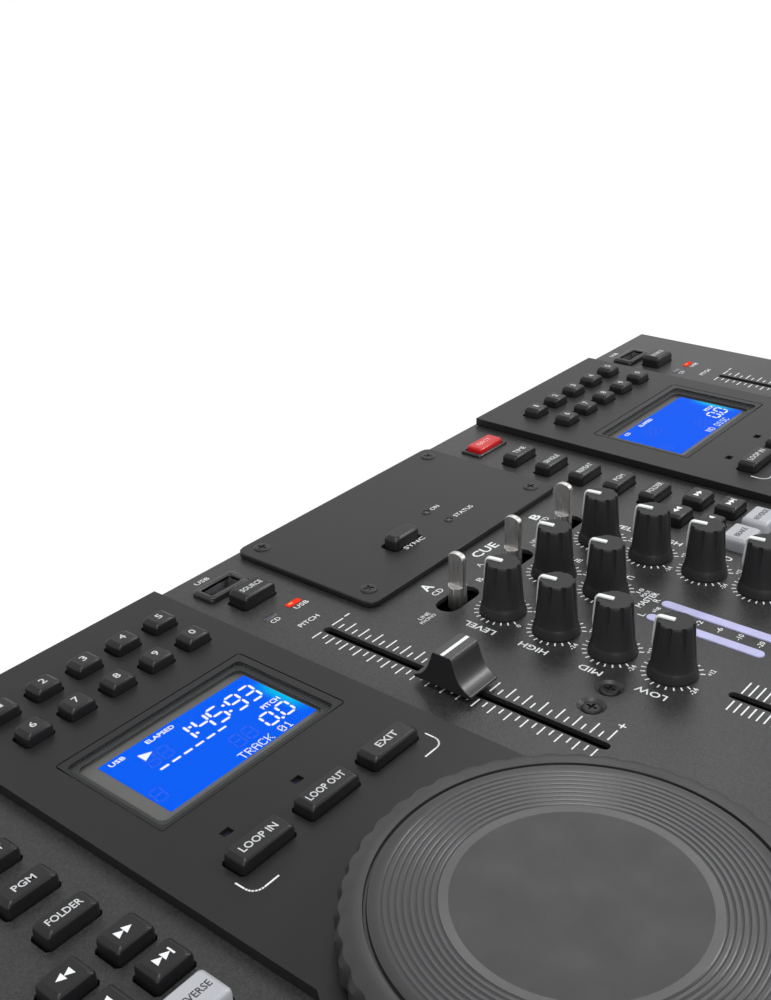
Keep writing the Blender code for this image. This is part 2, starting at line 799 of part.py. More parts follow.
# Main board with everything that is soldered to it
def make_main_board():
    half = pan_half_width - pan_sheet - board_side_gap
    low_y, high_y = front_panel_inner + board_end_gap, rear_wall - pan_sheet - seat_gap
    bm = bmesh.new()
    add_box(bm, (-half, low_y, board_under), (half, high_y, board_top))
    board = make_object("main_board", bm, (0, 0, 0), "board_green")
    inside = (board_under + board_top) / 2
    parts = bmesh.new()
    for x, y in knob_places().values():
        add_centred_box(parts, x, y, pot_size, pot_size, inside, plate_top - knob_shaft_drop - seat_gap)
    fader_top = plate_top - fader_body_drop
    for x in decks.values():
        add_centred_box(parts, x + pitch_x, from_back(pitch_back + pitch_length / 2), fader_body_width,
                        pitch_length + 2 * fader_body_margin, inside, fader_top)
        add_centred_box(parts, x + stick_x, from_back(stick_back), stick_width, stick_depth, inside,
                        plate_top + stick_rise, key_corner)
    for x in channels.values():
        add_centred_box(parts, x, from_back(channel_back + channel_length / 2), fader_body_width,
                        channel_length + fader_body_margin, inside, fader_top)
    add_centred_box(parts, 0, from_back(cross_back), cross_length + 2 * fader_body_margin,
                    fader_body_width, inside, fader_top)
    corner_x = half - post_inset
    front_y, back_y = low_y + post_inset / 2, high_y - post_inset / 2
    posts = [(x, front_y) for x in (-corner_x, -front_post_x, front_post_x, corner_x)]
    posts += [(-corner_x, back_y), (corner_x, back_y)]
    for x, y in posts:
        add_round(parts, x, y, inside, plate_under - seat_gap, post_radius, post_radius, post_sides)
    for side in (-1, 1):
        add_box(parts, (side * jack_x - jack_block / 2, low_y, plate_top - jack_drop - jack_block / 2),
                (side * jack_x + jack_block / 2, low_y + jack_block_depth, inside))
    first = phono_x - phono_pitch / 2
    add_box(parts, (first, high_y - phono_block_depth, board_under - phono_block_height),
            (first + phono_count * phono_pitch, high_y, inside))
    combine(board, parts, "UNION", "parts")
    barrels = bmesh.new()
    for side in (-1, 1):
        add_round_along_y(barrels, side * jack_x, plate_top - jack_drop, front_panel_outer,
                          low_y + jack_block_depth / 2, jack_nose_radius, socket_sides)
    for index in range(phono_count):
        add_round_along_y(barrels, phono_x + index * phono_pitch, plate_top - phono_drop,
                          high_y - phono_block_depth / 2, rear_wall + phono_length, phono_radius,
                          socket_sides)
    combine(board, barrels, "UNION", "barrels")
    hollows = bmesh.new()
    for x in decks.values():
        socket_top = plate_top + stick_rise
        add_centred_box(hollows, x + stick_x, from_back(stick_back), stick_slot_width, stick_slot_depth,
                        socket_top - stick_slot_length, socket_top + cut_overrun)
    for side in (-1, 1):
        add_round_along_y(hollows, side * jack_x, plate_top - jack_drop, front_panel_outer - cut_overrun,
                          front_panel_outer + jack_bore_length, jack_bore_radius, socket_sides)
    combine(board, hollows, "DIFFERENCE", "hollows")


# Power supply with the mains inlet that comes out through the rear wall
def make_power_supply():
    back = rear_wall - pan_sheet - seat_gap
    low_z = pan_floor + supply_lift
    bm = bmesh.new()
    add_box(bm, (supply_left, back - supply_depth, low_z), (supply_right, back, low_z + supply_board))
    supply = make_object("power_supply", bm, (0, 0, 0), "board_green")
    inside = low_z + supply_board / 2
    parts = bmesh.new()
    middle_y = back - supply_depth + transformer_depth / 2 + pan_sheet
    add_centred_box(parts, supply_left + transformer_width / 2 + pan_sheet, middle_y, transformer_width,
                    transformer_depth, inside, inside + transformer_height)
    half, tall = inlet_width / 2, inlet_tall / 2
    add_box(parts, (inlet_x - half, back - inlet_depth, inside),
            (inlet_x + half, rear_wall + inlet_flange, inlet_height + tall))
    combine(supply, parts, "UNION", "parts")
    legs = bmesh.new()
    for x in (supply_left + post_radius, supply_right - post_radius):
        for y in (back - supply_depth + post_radius, back - post_radius):
            add_round(legs, x, y, pan_floor + seat_gap, inside, post_radius, post_radius, post_sides)
    combine(supply, legs, "UNION", "legs")
    below = bmesh.new()
    add_box(below, (inlet_x - inlet_width, back + seat_gap / 2, low_z - cut_overrun),
            (inlet_x + inlet_width, rear_wall + 2 * inlet_flange, inlet_height - tall))
    combine(supply, below, "DIFFERENCE", "below_inlet")
    cavity = bmesh.new()
    root = back - inlet_depth + inlet_floor
    mouth = rear_wall + inlet_flange + cut_overrun
    add_box(cavity, (inlet_x - half + inlet_wall, root, inlet_height - tall + inlet_wall),
            (inlet_x + half - inlet_wall, mouth, inlet_height + tall - inlet_wall))
    combine(supply, cavity, "DIFFERENCE", "cavity")
    pins = bmesh.new()
    for step in (-1, 0, 1):
        pin_x = inlet_x + step * pin_pitch
        pin_z = inlet_height + pin_rise + (pin_rise if step == 0 else 0)
        add_box(pins, (pin_x - pin_thickness / 2, root - inlet_floor / 2, pin_z - pin_width / 2),
                (pin_x + pin_thickness / 2, root + pin_length, pin_z + pin_width / 2))
    combine(supply, pins, "UNION", "pins")


# Rocker switch, tilted to its off side
def make_power_switch():
    bm = bmesh.new()
    add_centred_box(bm, 0, 0, switch_width, switch_depth, -switch_tall / 2, switch_tall / 2)
    switch = make_object("power_switch", bm, (switch_x, rear_wall - pan_sheet / 2, inlet_height), "black")
    switch.rotation_euler = (switch_tilt, 0, 0)


# Disc drive: the frame that guides the tray and holds the motor, and the turntable on the motor
def make_drive(side, x):
    centre = x + jog_x
    inner = tray_width / 2 + tray_side_gap
    outer = inner + frame_wall
    low_y, high_y = front_panel_inner + seat_gap, front_panel_inner + seat_gap + frame_length
    low_z, high_z = pan_floor + seat_gap, tray_level + tray_height + frame_above_tray
    bm = bmesh.new()
    add_box(bm, (-outer, low_y, low_z), (outer, high_y, high_z))
    frame = make_object(f"drive_frame_{side}", bm, (centre, 0, 0), "zinc")
    channel = bmesh.new()
    add_box(channel, (-inner, low_y - cut_overrun, low_z + frame_floor),
            (inner, high_y + cut_overrun, high_z + cut_overrun))
    combine(frame, channel, "DIFFERENCE", "channel")
    rails = bmesh.new()
    rail_top = tray_level - seat_gap
    for sign in (-1, 1):
        edges = sorted((sign * (inner - rail_width), sign * (inner + frame_wall / 2)))
        add_box(rails, (edges[0], low_y, rail_top - rail_height), (edges[1], high_y, rail_top))
    seat = turntable_top - turntable_height - seat_gap
    add_round(rails, 0, disc_y, low_z + frame_floor / 2, seat, motor_radius, motor_radius, foot_sides)
    combine(frame, rails, "UNION", "rails")
    bore = bmesh.new()
    bore_radius = spindle_radius + shaft_clearance
    add_round(bore, 0, disc_y, seat - spindle_length - cut_overrun, seat + cut_overrun,
              bore_radius, bore_radius, post_sides)
    combine(frame, bore, "DIFFERENCE", "bore")
    profile = [
        (0, hub_height), (hub_radius - hub_height, hub_height), (hub_radius, 0), (turntable_radius, 0),
        (turntable_radius, -turntable_height), (spindle_radius, -turntable_height),
        (spindle_radius, -turntable_height - spindle_length), (0, -turntable_height - spindle_length),
    ]
    turned(f"turntable_{side}", profile, turntable_steps, (centre, disc_y, turntable_top), "black")


# Disc tray with its door, sliding in the drive frame
def make_disc_tray(side, x):
    half = tray_width / 2
    back = tray_front + tray_length
    bm = bmesh.new()
    add_box(bm, (-half, tray_front - door_thickness / 2, tray_level), (half, back, tray_level + tray_height))
    tray = make_object(f"disc_tray_{side}", bm, (x + jog_x, 0, 0), "black")
    pocket = bmesh.new()
    add_box(pocket, (tray_wall - half, tray_front + tray_wall, tray_level + tray_floor),
            (half - tray_wall, back - tray_wall, tray_level + tray_height + cut_overrun))
    combine(tray, pocket, "DIFFERENCE", "pocket")
    lens = bmesh.new()
    add_box(lens, (-lens_slot_width / 2, disc_y - lens_slot_front, tray_level - cut_overrun),
            (lens_slot_width / 2, disc_y + lens_slot_back, tray_level + 2 * tray_floor))
    combine(tray, lens, "DIFFERENCE", "lens_slot")
    door = bmesh.new()
    low_z = tray_level - door_drop
    add_box(door, (-door_width / 2, front_edge, low_z), (door_width / 2, tray_front, low_z + door_height))
    combine(tray, door, "UNION", "door")


# Front panel between the lip and the floor, open for the tray doors and the jacks
def make_front_panel():
    half = pan_half_width - pan_sheet - seat_gap
    low_z = pan_floor + seat_gap
    bm = bmesh.new()
    add_box(bm, (-half, front_panel_outer, low_z),
            (half, front_panel_inner - seat_gap, plate_under - seat_gap))
    panel = make_object("front_panel", bm, (0, 0, 0), "panel_dark")
    holes = bmesh.new()
    low_y, high_y = front_panel_outer - cut_overrun, front_panel_inner + cut_overrun
    door_low = tray_level - door_drop
    for x in decks.values():
        reach = door_width / 2 + door_gap
        add_box(holes, (x + jog_x - reach, low_y, door_low - door_gap),
                (x + jog_x + reach, high_y, door_low + door_height + door_gap))
    for side in (-1, 1):
        add_round_along_y(holes, side * jack_x, plate_top - jack_drop, low_y, high_y,
                          jack_nose_radius + seat_gap, socket_sides)
    combine(panel, holes, "DIFFERENCE", "holes")


make_feet()
make_base_pan()
make_top_cover()
make_front_panel()
make_receiver()
make_knobs()
make_levers()
make_faders()
make_main_board()
make_power_supply()
make_power_switch()
for deck_side, deck_x in decks.items():
    make_deck_panel(deck_side, deck_x)
    make_screen(deck_side, deck_x)
    make_jog_wheel(deck_side, deck_x)
    make_deck_keys(deck_side, deck_x)
    make_drive(deck_side, deck_x)
    make_disc_tray(deck_side, deck_x)
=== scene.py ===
"""Looks of the dual disc player and mixer console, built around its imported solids.

Metres, +Z up. +X is the user's right and +Y the back. The sections follow the console as it is
put together, from the feet to the printed words.
"""

import json
import math

import bmesh
import bpy
from mathutils import Matrix, Vector


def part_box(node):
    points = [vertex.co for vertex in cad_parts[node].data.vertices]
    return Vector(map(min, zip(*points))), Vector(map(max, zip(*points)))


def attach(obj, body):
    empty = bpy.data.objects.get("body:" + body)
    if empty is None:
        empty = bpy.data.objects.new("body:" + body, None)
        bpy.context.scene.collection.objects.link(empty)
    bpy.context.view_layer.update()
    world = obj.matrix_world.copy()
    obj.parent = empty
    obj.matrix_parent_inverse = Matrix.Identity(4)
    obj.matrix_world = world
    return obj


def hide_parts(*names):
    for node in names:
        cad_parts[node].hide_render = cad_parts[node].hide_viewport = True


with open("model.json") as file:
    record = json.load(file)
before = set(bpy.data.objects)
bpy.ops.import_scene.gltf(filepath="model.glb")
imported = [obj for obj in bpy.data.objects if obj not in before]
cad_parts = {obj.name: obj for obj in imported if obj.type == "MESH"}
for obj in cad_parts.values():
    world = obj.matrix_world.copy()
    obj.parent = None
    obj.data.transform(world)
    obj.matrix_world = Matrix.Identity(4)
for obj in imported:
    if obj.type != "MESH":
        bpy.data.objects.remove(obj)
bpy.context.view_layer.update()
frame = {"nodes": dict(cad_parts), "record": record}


# Camera
# It stands beyond the front left corner, above the console, and looks across to the far back.
eye = Vector((-0.29962, -0.14837, 0.27905))
look = Vector((0.68160744, 0.58606743, -0.43810531))
sideways = Vector((0.63683975, -0.76999653, -0.03924893))
camera_data = bpy.data.cameras.new("camera")
camera_data.lens = 45.666
camera_data.sensor_width = 36
camera_data.clip_start = 0.01
camera = bpy.data.objects.new("camera", camera_data)
bpy.context.scene.collection.objects.link(camera)
aim = Matrix((sideways, sideways.cross(look), -look)).transposed()
camera.matrix_world = Matrix.Translation(eye) @ aim.to_4x4()
bpy.context.scene.camera = camera
bpy.context.scene.view_settings.view_transform = "Standard"


# Studio
# A pale floor, an even sky, and four soft lamps. White surroundings show in gloss and glass.
room_light = 0.55
shown_white = 1.03
lamps = (
    ("lamp_over", (-0.35, -0.25, 1.3), (0.0, 0.0, 0.05), 0.5, 7.0),
    ("lamp_right", (1.0, -0.68, 0.95), (0.0, 0.05, 0.08), 0.45, 9.0),
    ("lamp_far", (0.9, 0.5, 1.2), (0.1, 0.05, 0.08), 0.5, 3.0),
    ("lamp_left", (-1.0, -0.9, 0.55), (0.0, 0.0, 0.08), 0.6, 5.0),
)


def wire(tree, kind, given, port=0, **settings):
    """Add a node, set or link its inputs by name or number, and return one of its outputs."""
    node = tree.nodes.new(kind)
    for name, value in settings.items():
        setattr(node, name, value)
    for socket, value in given.items():
        if isinstance(value, bpy.types.NodeSocket):
            tree.links.new(value, node.inputs[socket])
        else:
            node.inputs[socket].default_value = value
    return node.outputs[port]


def maths(tree, operation, first, second=0.0):
    return wire(tree, "ShaderNodeMath", {0: first, 1: second}, operation=operation)


def seen_white(tree):
    """One where a camera, glossy or transmission ray arrives, and zero elsewhere."""
    path = tree.nodes.new("ShaderNodeLightPath").outputs
    either = maths(tree, "MAXIMUM", path["Is Camera Ray"], path["Is Glossy Ray"])
    return maths(tree, "MAXIMUM", either, path["Is Transmission Ray"])


def make_world():
    world = bpy.data.worlds.new("studio")
    world.use_nodes = True
    tree = world.node_tree
    white = (1, 1, 1, 1)
    lit = wire(tree, "ShaderNodeBackground", {"Color": white, "Strength": room_light})
    shown = wire(tree, "ShaderNodeBackground", {"Color": white, "Strength": shown_white})
    mixed = wire(tree, "ShaderNodeMixShader", {0: seen_white(tree), 1: lit, 2: shown})
    tree.links.new(mixed, tree.nodes["World Output"].inputs["Surface"])
    bpy.context.scene.world = world


def make_paint(name, settings):
    """A material, its tree and its shader, with the shader's own values set."""
    paint = bpy.data.materials.new(name)
    paint.use_nodes = True
    shader = paint.node_tree.nodes["Principled BSDF"]
    for socket, value in settings.items():
        shader.inputs[socket].default_value = value
    return paint, paint.node_tree, shader


def make_floor():
    reach = 30
    glow_share = 0.96
    mesh = bpy.data.meshes.new("floor")
    corners = [(-reach, -reach, 0), (reach, -reach, 0), (reach, reach, 0), (-reach, reach, 0)]
    mesh.from_pydata(corners, [], [(0, 1, 2, 3)])
    paint, tree, plain = make_paint("floor_paint", {"Base Color": (0.86, 0.86, 0.86, 1), "Roughness": 0.9,
                                                    "Specular IOR Level": 0})
    glow = wire(tree, "ShaderNodeEmission", {"Strength": shown_white})
    share = maths(tree, "MULTIPLY", seen_white(tree), glow_share)
    mixed = wire(tree, "ShaderNodeMixShader", {0: share, 1: plain.outputs[0], 2: glow})
    tree.links.new(mixed, tree.nodes["Material Output"].inputs["Surface"])
    mesh.materials.append(paint)
    floor = bpy.data.objects.new("floor", mesh)
    bpy.context.scene.collection.objects.link(floor)


make_world()
make_floor()
for lamp_name, lamp_place, lamp_aim, lamp_size, lamp_power in lamps:
    lamp_data = bpy.data.lights.new(lamp_name, "AREA")
    lamp_data.shape = "DISK"
    lamp_data.size = lamp_size
    lamp_data.energy = lamp_power
    lamp = bpy.data.objects.new(lamp_name, lamp_data)
    lamp.location = lamp_place
    lamp.rotation_euler = (Vector(lamp_aim) - Vector(lamp_place)).to_track_quat("-Z", "Y").to_euler()
    bpy.context.scene.collection.objects.link(lamp)


# Base pan and feet
# The pan is a folded steel sheet with a sprayed coat. Four moulded rubber feet are screwed on below
# it. A finish has fine colour variation, uneven gloss and a grain, all in real sizes.
def swing(tree, noise, middle, spread, edge=0.3):
    """A noise stretched to run from the middle less the spread to the middle plus the spread."""
    return wire(tree, "ShaderNodeMapRange", {"Value": noise, "From Min": edge, "From Max": 1 - edge,
                                             "To Min": middle - spread, "To Max": middle + spread})


def make_finish(name, colour, roughness, metallic=0.0, grain=0.0004, relief=0.15, speckle=0.10,
                mottle=0.08, patch=0.012, gloss_swing=0.06, specular=0.5):
    paint, tree, shader = make_paint(name, {"Metallic": metallic, "Specular IOR Level": specular})
    place = wire(tree, "ShaderNodeTexCoord", {}, "Object")
    fine = wire(tree, "ShaderNodeTexNoise", {"Vector": place, "Scale": 1 / grain, "Detail": 2})
    broad = wire(tree, "ShaderNodeTexNoise", {"Vector": place, "Scale": 1 / patch, "Detail": 4})
    both = maths(tree, "MULTIPLY", swing(tree, fine, 1, speckle, 0.25), swing(tree, broad, 1, mottle))
    shade = wire(tree, "ShaderNodeVectorMath", {0: colour, "Scale": both}, operation="SCALE")
    tree.links.new(shade, shader.inputs["Base Color"])
    tree.links.new(swing(tree, broad, roughness, gloss_swing), shader.inputs["Roughness"])
    if relief:
        bump = wire(tree, "ShaderNodeBump", {"Height": fine, "Strength": relief, "Distance": grain / 4})
        tree.links.new(bump, shader.inputs["Normal"])
    return paint


def add_piece(name, shape, paint, body="console", replaces=(), smooth=35):
    """Link a mesh, or a bmesh once its faces are turned outwards, as a piece that rides on a body."""
    mesh = shape
    if isinstance(shape, bmesh.types.BMesh):
        bmesh.ops.recalc_face_normals(shape, faces=shape.faces)
        mesh = bpy.data.meshes.new(name)
        shape.to_mesh(mesh)
        shape.free()
    mesh.name = name
    mesh.materials.clear()
    mesh.materials.append(paint)
    mesh.shade_smooth()
    mesh.set_sharp_from_angle(angle=math.radians(smooth))
    piece = bpy.data.objects.new(name, mesh)
    bpy.context.scene.collection.objects.link(piece)
    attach(piece, body)
    if replaces:
        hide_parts(*replaces)
    return piece


def body_of(node):
    bodies = frame["record"]["behaviour"]["bodies"]
    return next(body for body, nodes in bodies.items() if node in nodes)


def soften(piece, width, segments=2, angle=30):
    bevel = piece.modifiers.new("soft_edges", "BEVEL")
    bevel.width = width
    bevel.segments = segments
    bevel.limit_method = "ANGLE"
    bevel.angle_limit = math.radians(angle)
    bevel.use_clamp_overlap = True
    bevel.harden_normals = True
    return piece


def edged(node, name, paint, width, segments=2):
    """The node's own shape with broken edges, in place of the node."""
    bm = bmesh.new()
    bm.from_mesh(frame["nodes"][node].data)
    bmesh.ops.remove_doubles(bm, verts=bm.verts, dist=0.000002)
    flat = math.radians(1)
    bmesh.ops.dissolve_limit(bm, angle_limit=flat, verts=bm.verts, edges=bm.edges, use_dissolve_boundaries=False)
    mesh = bpy.data.meshes.new(name)
    bm.to_mesh(mesh)
    bm.free()
    return soften(add_piece(name, mesh, paint, body_of(node), (node,)), width, segments)


def circle(x, y, radius, sides):
    """Points round a circle, anticlockwise from above."""
    return [(x + radius * math.cos(math.tau * i / sides), y + radius * math.sin(math.tau * i / sides))
            for i in range(sides)]


def add_loft(bm, levels, tube=False):
    """Skin a stack of rings, each a height and its points. A tube joins its last ring to its first."""
    rings = [[bm.verts.new((x, y, height)) for x, y in points] for height, points in levels]
    for low, high in zip(rings, rings[1:] + rings[:1] if tube else rings[1:]):
        for i in range(len(low)):
            bm.faces.new((low[i - 1], low[i], high[i], high[i - 1]))
    if not tube:
        bm.faces.new(list(reversed(rings[0])))
        bm.faces.new(rings[-1])
    return rings


def add_turned(bm, x, y, profile, sides=48, tube=False):
    """A turned shape: the profile lists radius and height from the low end to the high end."""
    return add_loft(bm, [(height, circle(x, y, radius, sides)) for radius, height in profile], tube)


coat = make_finish("powder_coat", (0.027, 0.027, 0.028), 0.36, 0, 0.00055, 0.45, 0.42, 0.06, 0.03, 0.03, 0.28)
rubber = make_finish("foot_rubber", (0.018, 0.018, 0.018), 0.78, 0, 0.0005, 0.25, 0.12, 0.1)
edged("base_pan", "base_pan_folded", coat, 0.00035, 2)
for foot in ("foot_front_left", "foot_front_right", "foot_back_left", "foot_back_right"):
    low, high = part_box(foot)
    bm = bmesh.new()
    add_turned(bm, (low.x + high.x) / 2, (low.y + high.y) / 2, [
        (0.0088, 0), (0.0096, 0.0004), (0.0100, 0.0014), (0.0099, 0.0026), (0.0092, 0.0030), (0.0092, 0.0036),
        (0.0096, 0.0040), (0.0089, 0.0070), (0.0086, high.z),
    ], 40)
    add_piece(foot + "_rubber", bm, rubber, body_of(foot), (foot,))


# Drives
# Each has a pressed and zinc plated steel frame, a moulded turntable on the motor, and the tray with
# its door.
plated = make_finish("zinc_plate", (0.42, 0.43, 0.44), 0.36, 0.85, 0.0016, 0.05, 0.07, 0.10, 0.02, 0.08)
tray_black = make_finish("tray_black", (0.014, 0.014, 0.015), 0.42, 0, 0.0004, 0.12, 0.08)
disc_rubber = make_finish("turntable_rubber", (0.02, 0.02, 0.02), 0.7, 0, 0.0004, 0.3, 0.14)
disc_radius = 0.0605
small_disc_share = 0.69
disc_y = -0.0640
liner_half, liner_front, liner_back = 0.0618, -0.1279, 0.0228
liner_low, liner_floor, liner_top = 0.0399, 0.0413, 0.0452


def make_tray_liner(side):
    """The flat of the tray round the disc, with the step for a small disc."""
    low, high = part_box(f"disc_tray_{side}")
    x = (low.x + high.x) / 2
    disc = circle(x, disc_y, disc_radius, 96)
    small = circle(x, disc_y, disc_radius * small_disc_share, 96)
    outer = []
    for point in disc:
        run_x, run_y = (point[0] - x) / disc_radius, (point[1] - disc_y) / disc_radius
        limit = liner_back - disc_y if run_y > 0 else disc_y - liner_front
        reach = min(liner_half / max(abs(run_x), 1e-6), limit / max(abs(run_y), 1e-6))
        outer.append((x + run_x * reach, disc_y + run_y * reach))
    bm = bmesh.new()
    add_loft(bm, [(liner_low, outer), (liner_top, outer), (liner_top, disc), (liner_floor, disc),
                  (liner_floor, small), (liner_low, small)], True)
    body = f"disc_tray_{side}"
    soften(add_piece(body + "_floor", bm, tray_black, body), 0.0002, 1)


for side in ("left", "right"):
    edged(f"drive_frame_{side}", f"drive_frame_{side}_pressed", plated, 0.0003, 1)
    edged(f"disc_tray_{side}", f"disc_tray_{side}_moulded", tray_black, 0.0003, 2)
    edged(f"turntable_{side}", f"turntable_{side}_moulded", disc_rubber, 0.0002, 2)
    make_tray_liner(side)


# Electrics
# The main board has a dark mask with black parts on it. The supply carries its transformer and inlet,
# and the mains switch is a black rocker in the rear wall.
board_level = 0.0662
supply_level = 0.0158


def make_board_finish(name, level):
    """Dark solder mask below the height of the parts, black plastic above it."""
    paint = make_finish(name, (0.012, 0.012, 0.013), 0.4, 0, 0.0005, 0.1, 0.08)
    tree = paint.node_tree
    colour = tree.nodes["Principled BSDF"].inputs["Base Color"]
    height = wire(tree, "ShaderNodeSeparateXYZ", {0: tree.nodes["Texture Coordinate"].outputs["Object"]}, "Z")
    mixed = wire(tree, "ShaderNodeMix", {
        "Factor": maths(tree, "LESS_THAN", height, level), "A": colour.links[0].from_socket,
        "B": (0.004, 0.012, 0.007, 1)}, "Result", data_type="RGBA")
    tree.links.new(mixed, colour)
    return paint


def dress(node, paint):
    """A node that keeps its own shape and takes a finish."""
    mesh = frame["nodes"][node].data
    mesh.materials.clear()
    mesh.materials.append(paint)


switch_black = make_finish("switch_black", (0.016, 0.016, 0.017), 0.4, 0, 0.0004, 0.12, 0.08)
dress("main_board", make_board_finish("board_and_parts", board_level))
dress("power_supply", make_board_finish("supply_and_parts", supply_level))
edged("power_switch", "power_switch_rocker", switch_black, 0.0006, 3)


# Front panel
# A moulded strip between the cover's lip and the floor, open for the tray doors and the two jacks.
panel_satin = make_finish("panel_satin", (0.020, 0.020, 0.021), 0.40, 0, 0.0003, 0.07, 0.05, 0.05, 0.03, 0.04)
edged("front_panel", "front_panel_moulded", panel_satin, 0.0003, 2)


# Top cover
# Folded steel under the same coat as the pan, with punched slots and two pressed dimples for screws.
# Its edges are broken a little by the coat.
plate_top = 0.0800
back_edge = 0.1325
dimples = [(-0.0545, back_edge - 0.1392), (-0.0446, back_edge - 0.1388)]
dimple_depth = 0.00095


def reshape_slot(mesh, x, back, half_x, half_y, move_x, move_y, grow_x, grow_y):
    """Move and stretch one punched slot of the cover about its own middle."""
    y = back_edge - back
    for vert in mesh.vertices:
        if abs(vert.co.x - x) < half_x and abs(vert.co.y - y) < half_y and vert.co.z > plate_top - 0.002:
            vert.co.x = x + move_x + (vert.co.x - x) * grow_x
            vert.co.y = y + move_y + (vert.co.y - y) * grow_y


def refill_top(mesh):
    """Lay the flat top anew between its outline and its holes."""
    bm = bmesh.new()
    bm.from_mesh(mesh)
    flat = [face for face in bm.faces if all(abs(vert.co.z - plate_top) < 0.00001 for vert in face.verts)]
    rim = [edge for edge in bm.edges if sum(face in flat for face in edge.link_faces) == 1]
    bmesh.ops.delete(bm, geom=flat, context="FACES")
    bridges = [edge for edge in bm.edges if not edge.link_faces]
    made = bmesh.ops.triangle_fill(bm, use_beauty=True, use_dissolve=False, normal=(0, 0, 1), edges=rim)["geom"]
    bmesh.ops.delete(bm, geom=[edge for edge in bridges if not edge.link_faces], context="EDGES")
    bmesh.ops.recalc_face_normals(bm, faces=bm.faces)
    faces = [part for part in made if isinstance(part, bmesh.types.BMFace)]
    inner = list({edge for face in faces for edge in face.edges if edge not in rim})
    bmesh.ops.dissolve_limit(bm, angle_limit=math.radians(1), verts=[], edges=inner, use_dissolve_boundaries=False)
    bm.to_mesh(mesh)
    bm.free()


def press_dimples(piece):
    """Sink cone-sided dimples into the sheet, and keep its flat faces evenly lit."""
    edge = piece.modifiers["soft_edges"]
    edge.show_viewport = False
    bm = bmesh.new()
    for x, y in dimples:
        add_turned(bm, x, y, [(0.0027, plate_top - dimple_depth), (0.0040, plate_top), (0.0044, plate_top + 0.0004)],
                   40)
    bmesh.ops.recalc_face_normals(bm, faces=bm.faces)
    mesh = bpy.data.meshes.new("cutter")
    bm.to_mesh(mesh)
    bm.free()
    cutter = bpy.data.objects.new("cutter", mesh)
    bpy.context.scene.collection.objects.link(cutter)
    cut = piece.modifiers.new("cut", "BOOLEAN")
    cut.operation = "DIFFERENCE"
    cut.solver = "EXACT"
    cut.object = cutter
    piece.data = bpy.data.meshes.new_from_object(piece.evaluated_get(bpy.context.evaluated_depsgraph_get()))
    piece.modifiers.remove(cut)
    bpy.data.objects.remove(cutter)
    edge.show_viewport = True
    edge.harden_normals = False
    flat = piece.modifiers.new("flat_faces", "WEIGHTED_NORMAL")
    flat.weight = 100
    flat.keep_sharp = True


cover = edged("top_cover", "top_cover_coated", coat, 0.0004, 2)
for x in (-0.0300, 0.0, 0.0300):
    reshape_slot(cover.data, x, 0.0766, 0.0090, 0.0042, -0.0005, -0.0004, 1.05, 1.06)
for x, move in ((-0.00475, -0.00095), (0.00475, -0.00115)):
    reshape_slot(cover.data, x, 0.14755, 0.0030, 0.0200, move, 0.0006, 1.06, 1.016)
refill_top(cover.data)
press_dimples(cover)


# Deck panels
# Moulded panels with a smoother, darker skin and a bright chamfer round the top.
panel_top = 0.0832
deck_places = {"left": -0.1283, "right": 0.1283}
deck_satin = make_finish("deck_satin", (0.014, 0.014, 0.015), 0.36, 0, 0.0003, 0.1, 0.10, 0.05, 0.03, 0.03, 0.17)
for side in deck_places:
    edged(f"deck_panel_{side}", f"deck_panel_{side}_moulded", deck_satin, 0.0007, 3)


# Jog wheels
# Each has a scalloped rubbery rim, and a dished top plate with fine turned grooves.
jog_rubber = make_finish("jog_rim", (0.014, 0.014, 0.015), 0.5, 0, 0.0004, 0.2, 0.08)
jog_top = make_finish("jog_plate", (0.024, 0.024, 0.026), 0.33, 0.2, 0.0003, 0.08, 0.06, 0.05, 0.03, 0.04)
jog_sides = 360
jog_foot = 0.0843
scallops = 45
scallop_depth = 0.0010


def make_jog(body):
    low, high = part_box(body)
    x, y = (low.x + high.x) / 2, (low.y + high.y) / 2
    reach = (high.x - low.x) / 2
    top = high.z
    profile = (
        (0.0060, jog_foot, 0), (reach - 0.0030, jog_foot, 0), (reach - 0.0009, jog_foot + 0.0004, 0.3),
        (reach, jog_foot + 0.0014, 1), (reach, top - 0.0033, 1), (reach - 0.0010, top - 0.0016, 0.6),
        (reach - 0.0028, top - 0.0006, 0.15), (reach - 0.0045, top - 0.0002, 0), (reach - 0.0060, top - 0.0004, 0),
        (reach - 0.0062, top - 0.0012, 0), (reach - 0.0067, top - 0.0012, 0), (reach - 0.0070, top - 0.0003, 0),
    )
    levels = []
    for radius, height, grip in profile:
        ring = []
        for i in range(jog_sides):
            angle = math.tau * i / jog_sides
            wave = 0.5 - 0.5 * math.cos(angle * scallops)
            r = radius - scallop_depth * grip * wave ** 1.5
            ring.append((x + r * math.cos(angle), y + r * math.sin(angle)))
        levels.append((height, ring))
    bm = bmesh.new()
    add_loft(bm, levels)
    add_turned(bm, x, y, [(0.0060, low.z), (0.0060, jog_foot + 0.0004)])
    add_piece(body + "_rim", bm, jog_rubber, body, (body,), 25)
    dish = [(reach - 0.0072, 0.00145), (reach - 0.0072, 0.0001), (reach - 0.0075, 0.0)]
    for groove in range(9):
        r = reach - 0.0095 - groove * 0.0014
        dish += [(r, 0.0), (r - 0.00035, 0.00022), (r - 0.0007, 0.0)]
    dish += [(0.0245, 0.0003), (0.0238, 0.0011), (0.0225, 0.0014), (0.0120, 0.0016), (0.0040, 0.0016)]
    bm = bmesh.new()
    add_turned(bm, x, y, [(radius, top - 0.00015 - depth) for radius, depth in dish], jog_sides)
    add_piece(body + "_plate", bm, jog_top, body, (), 25)


for side in deck_places:
    make_jog(f"jog_wheel_{side}")


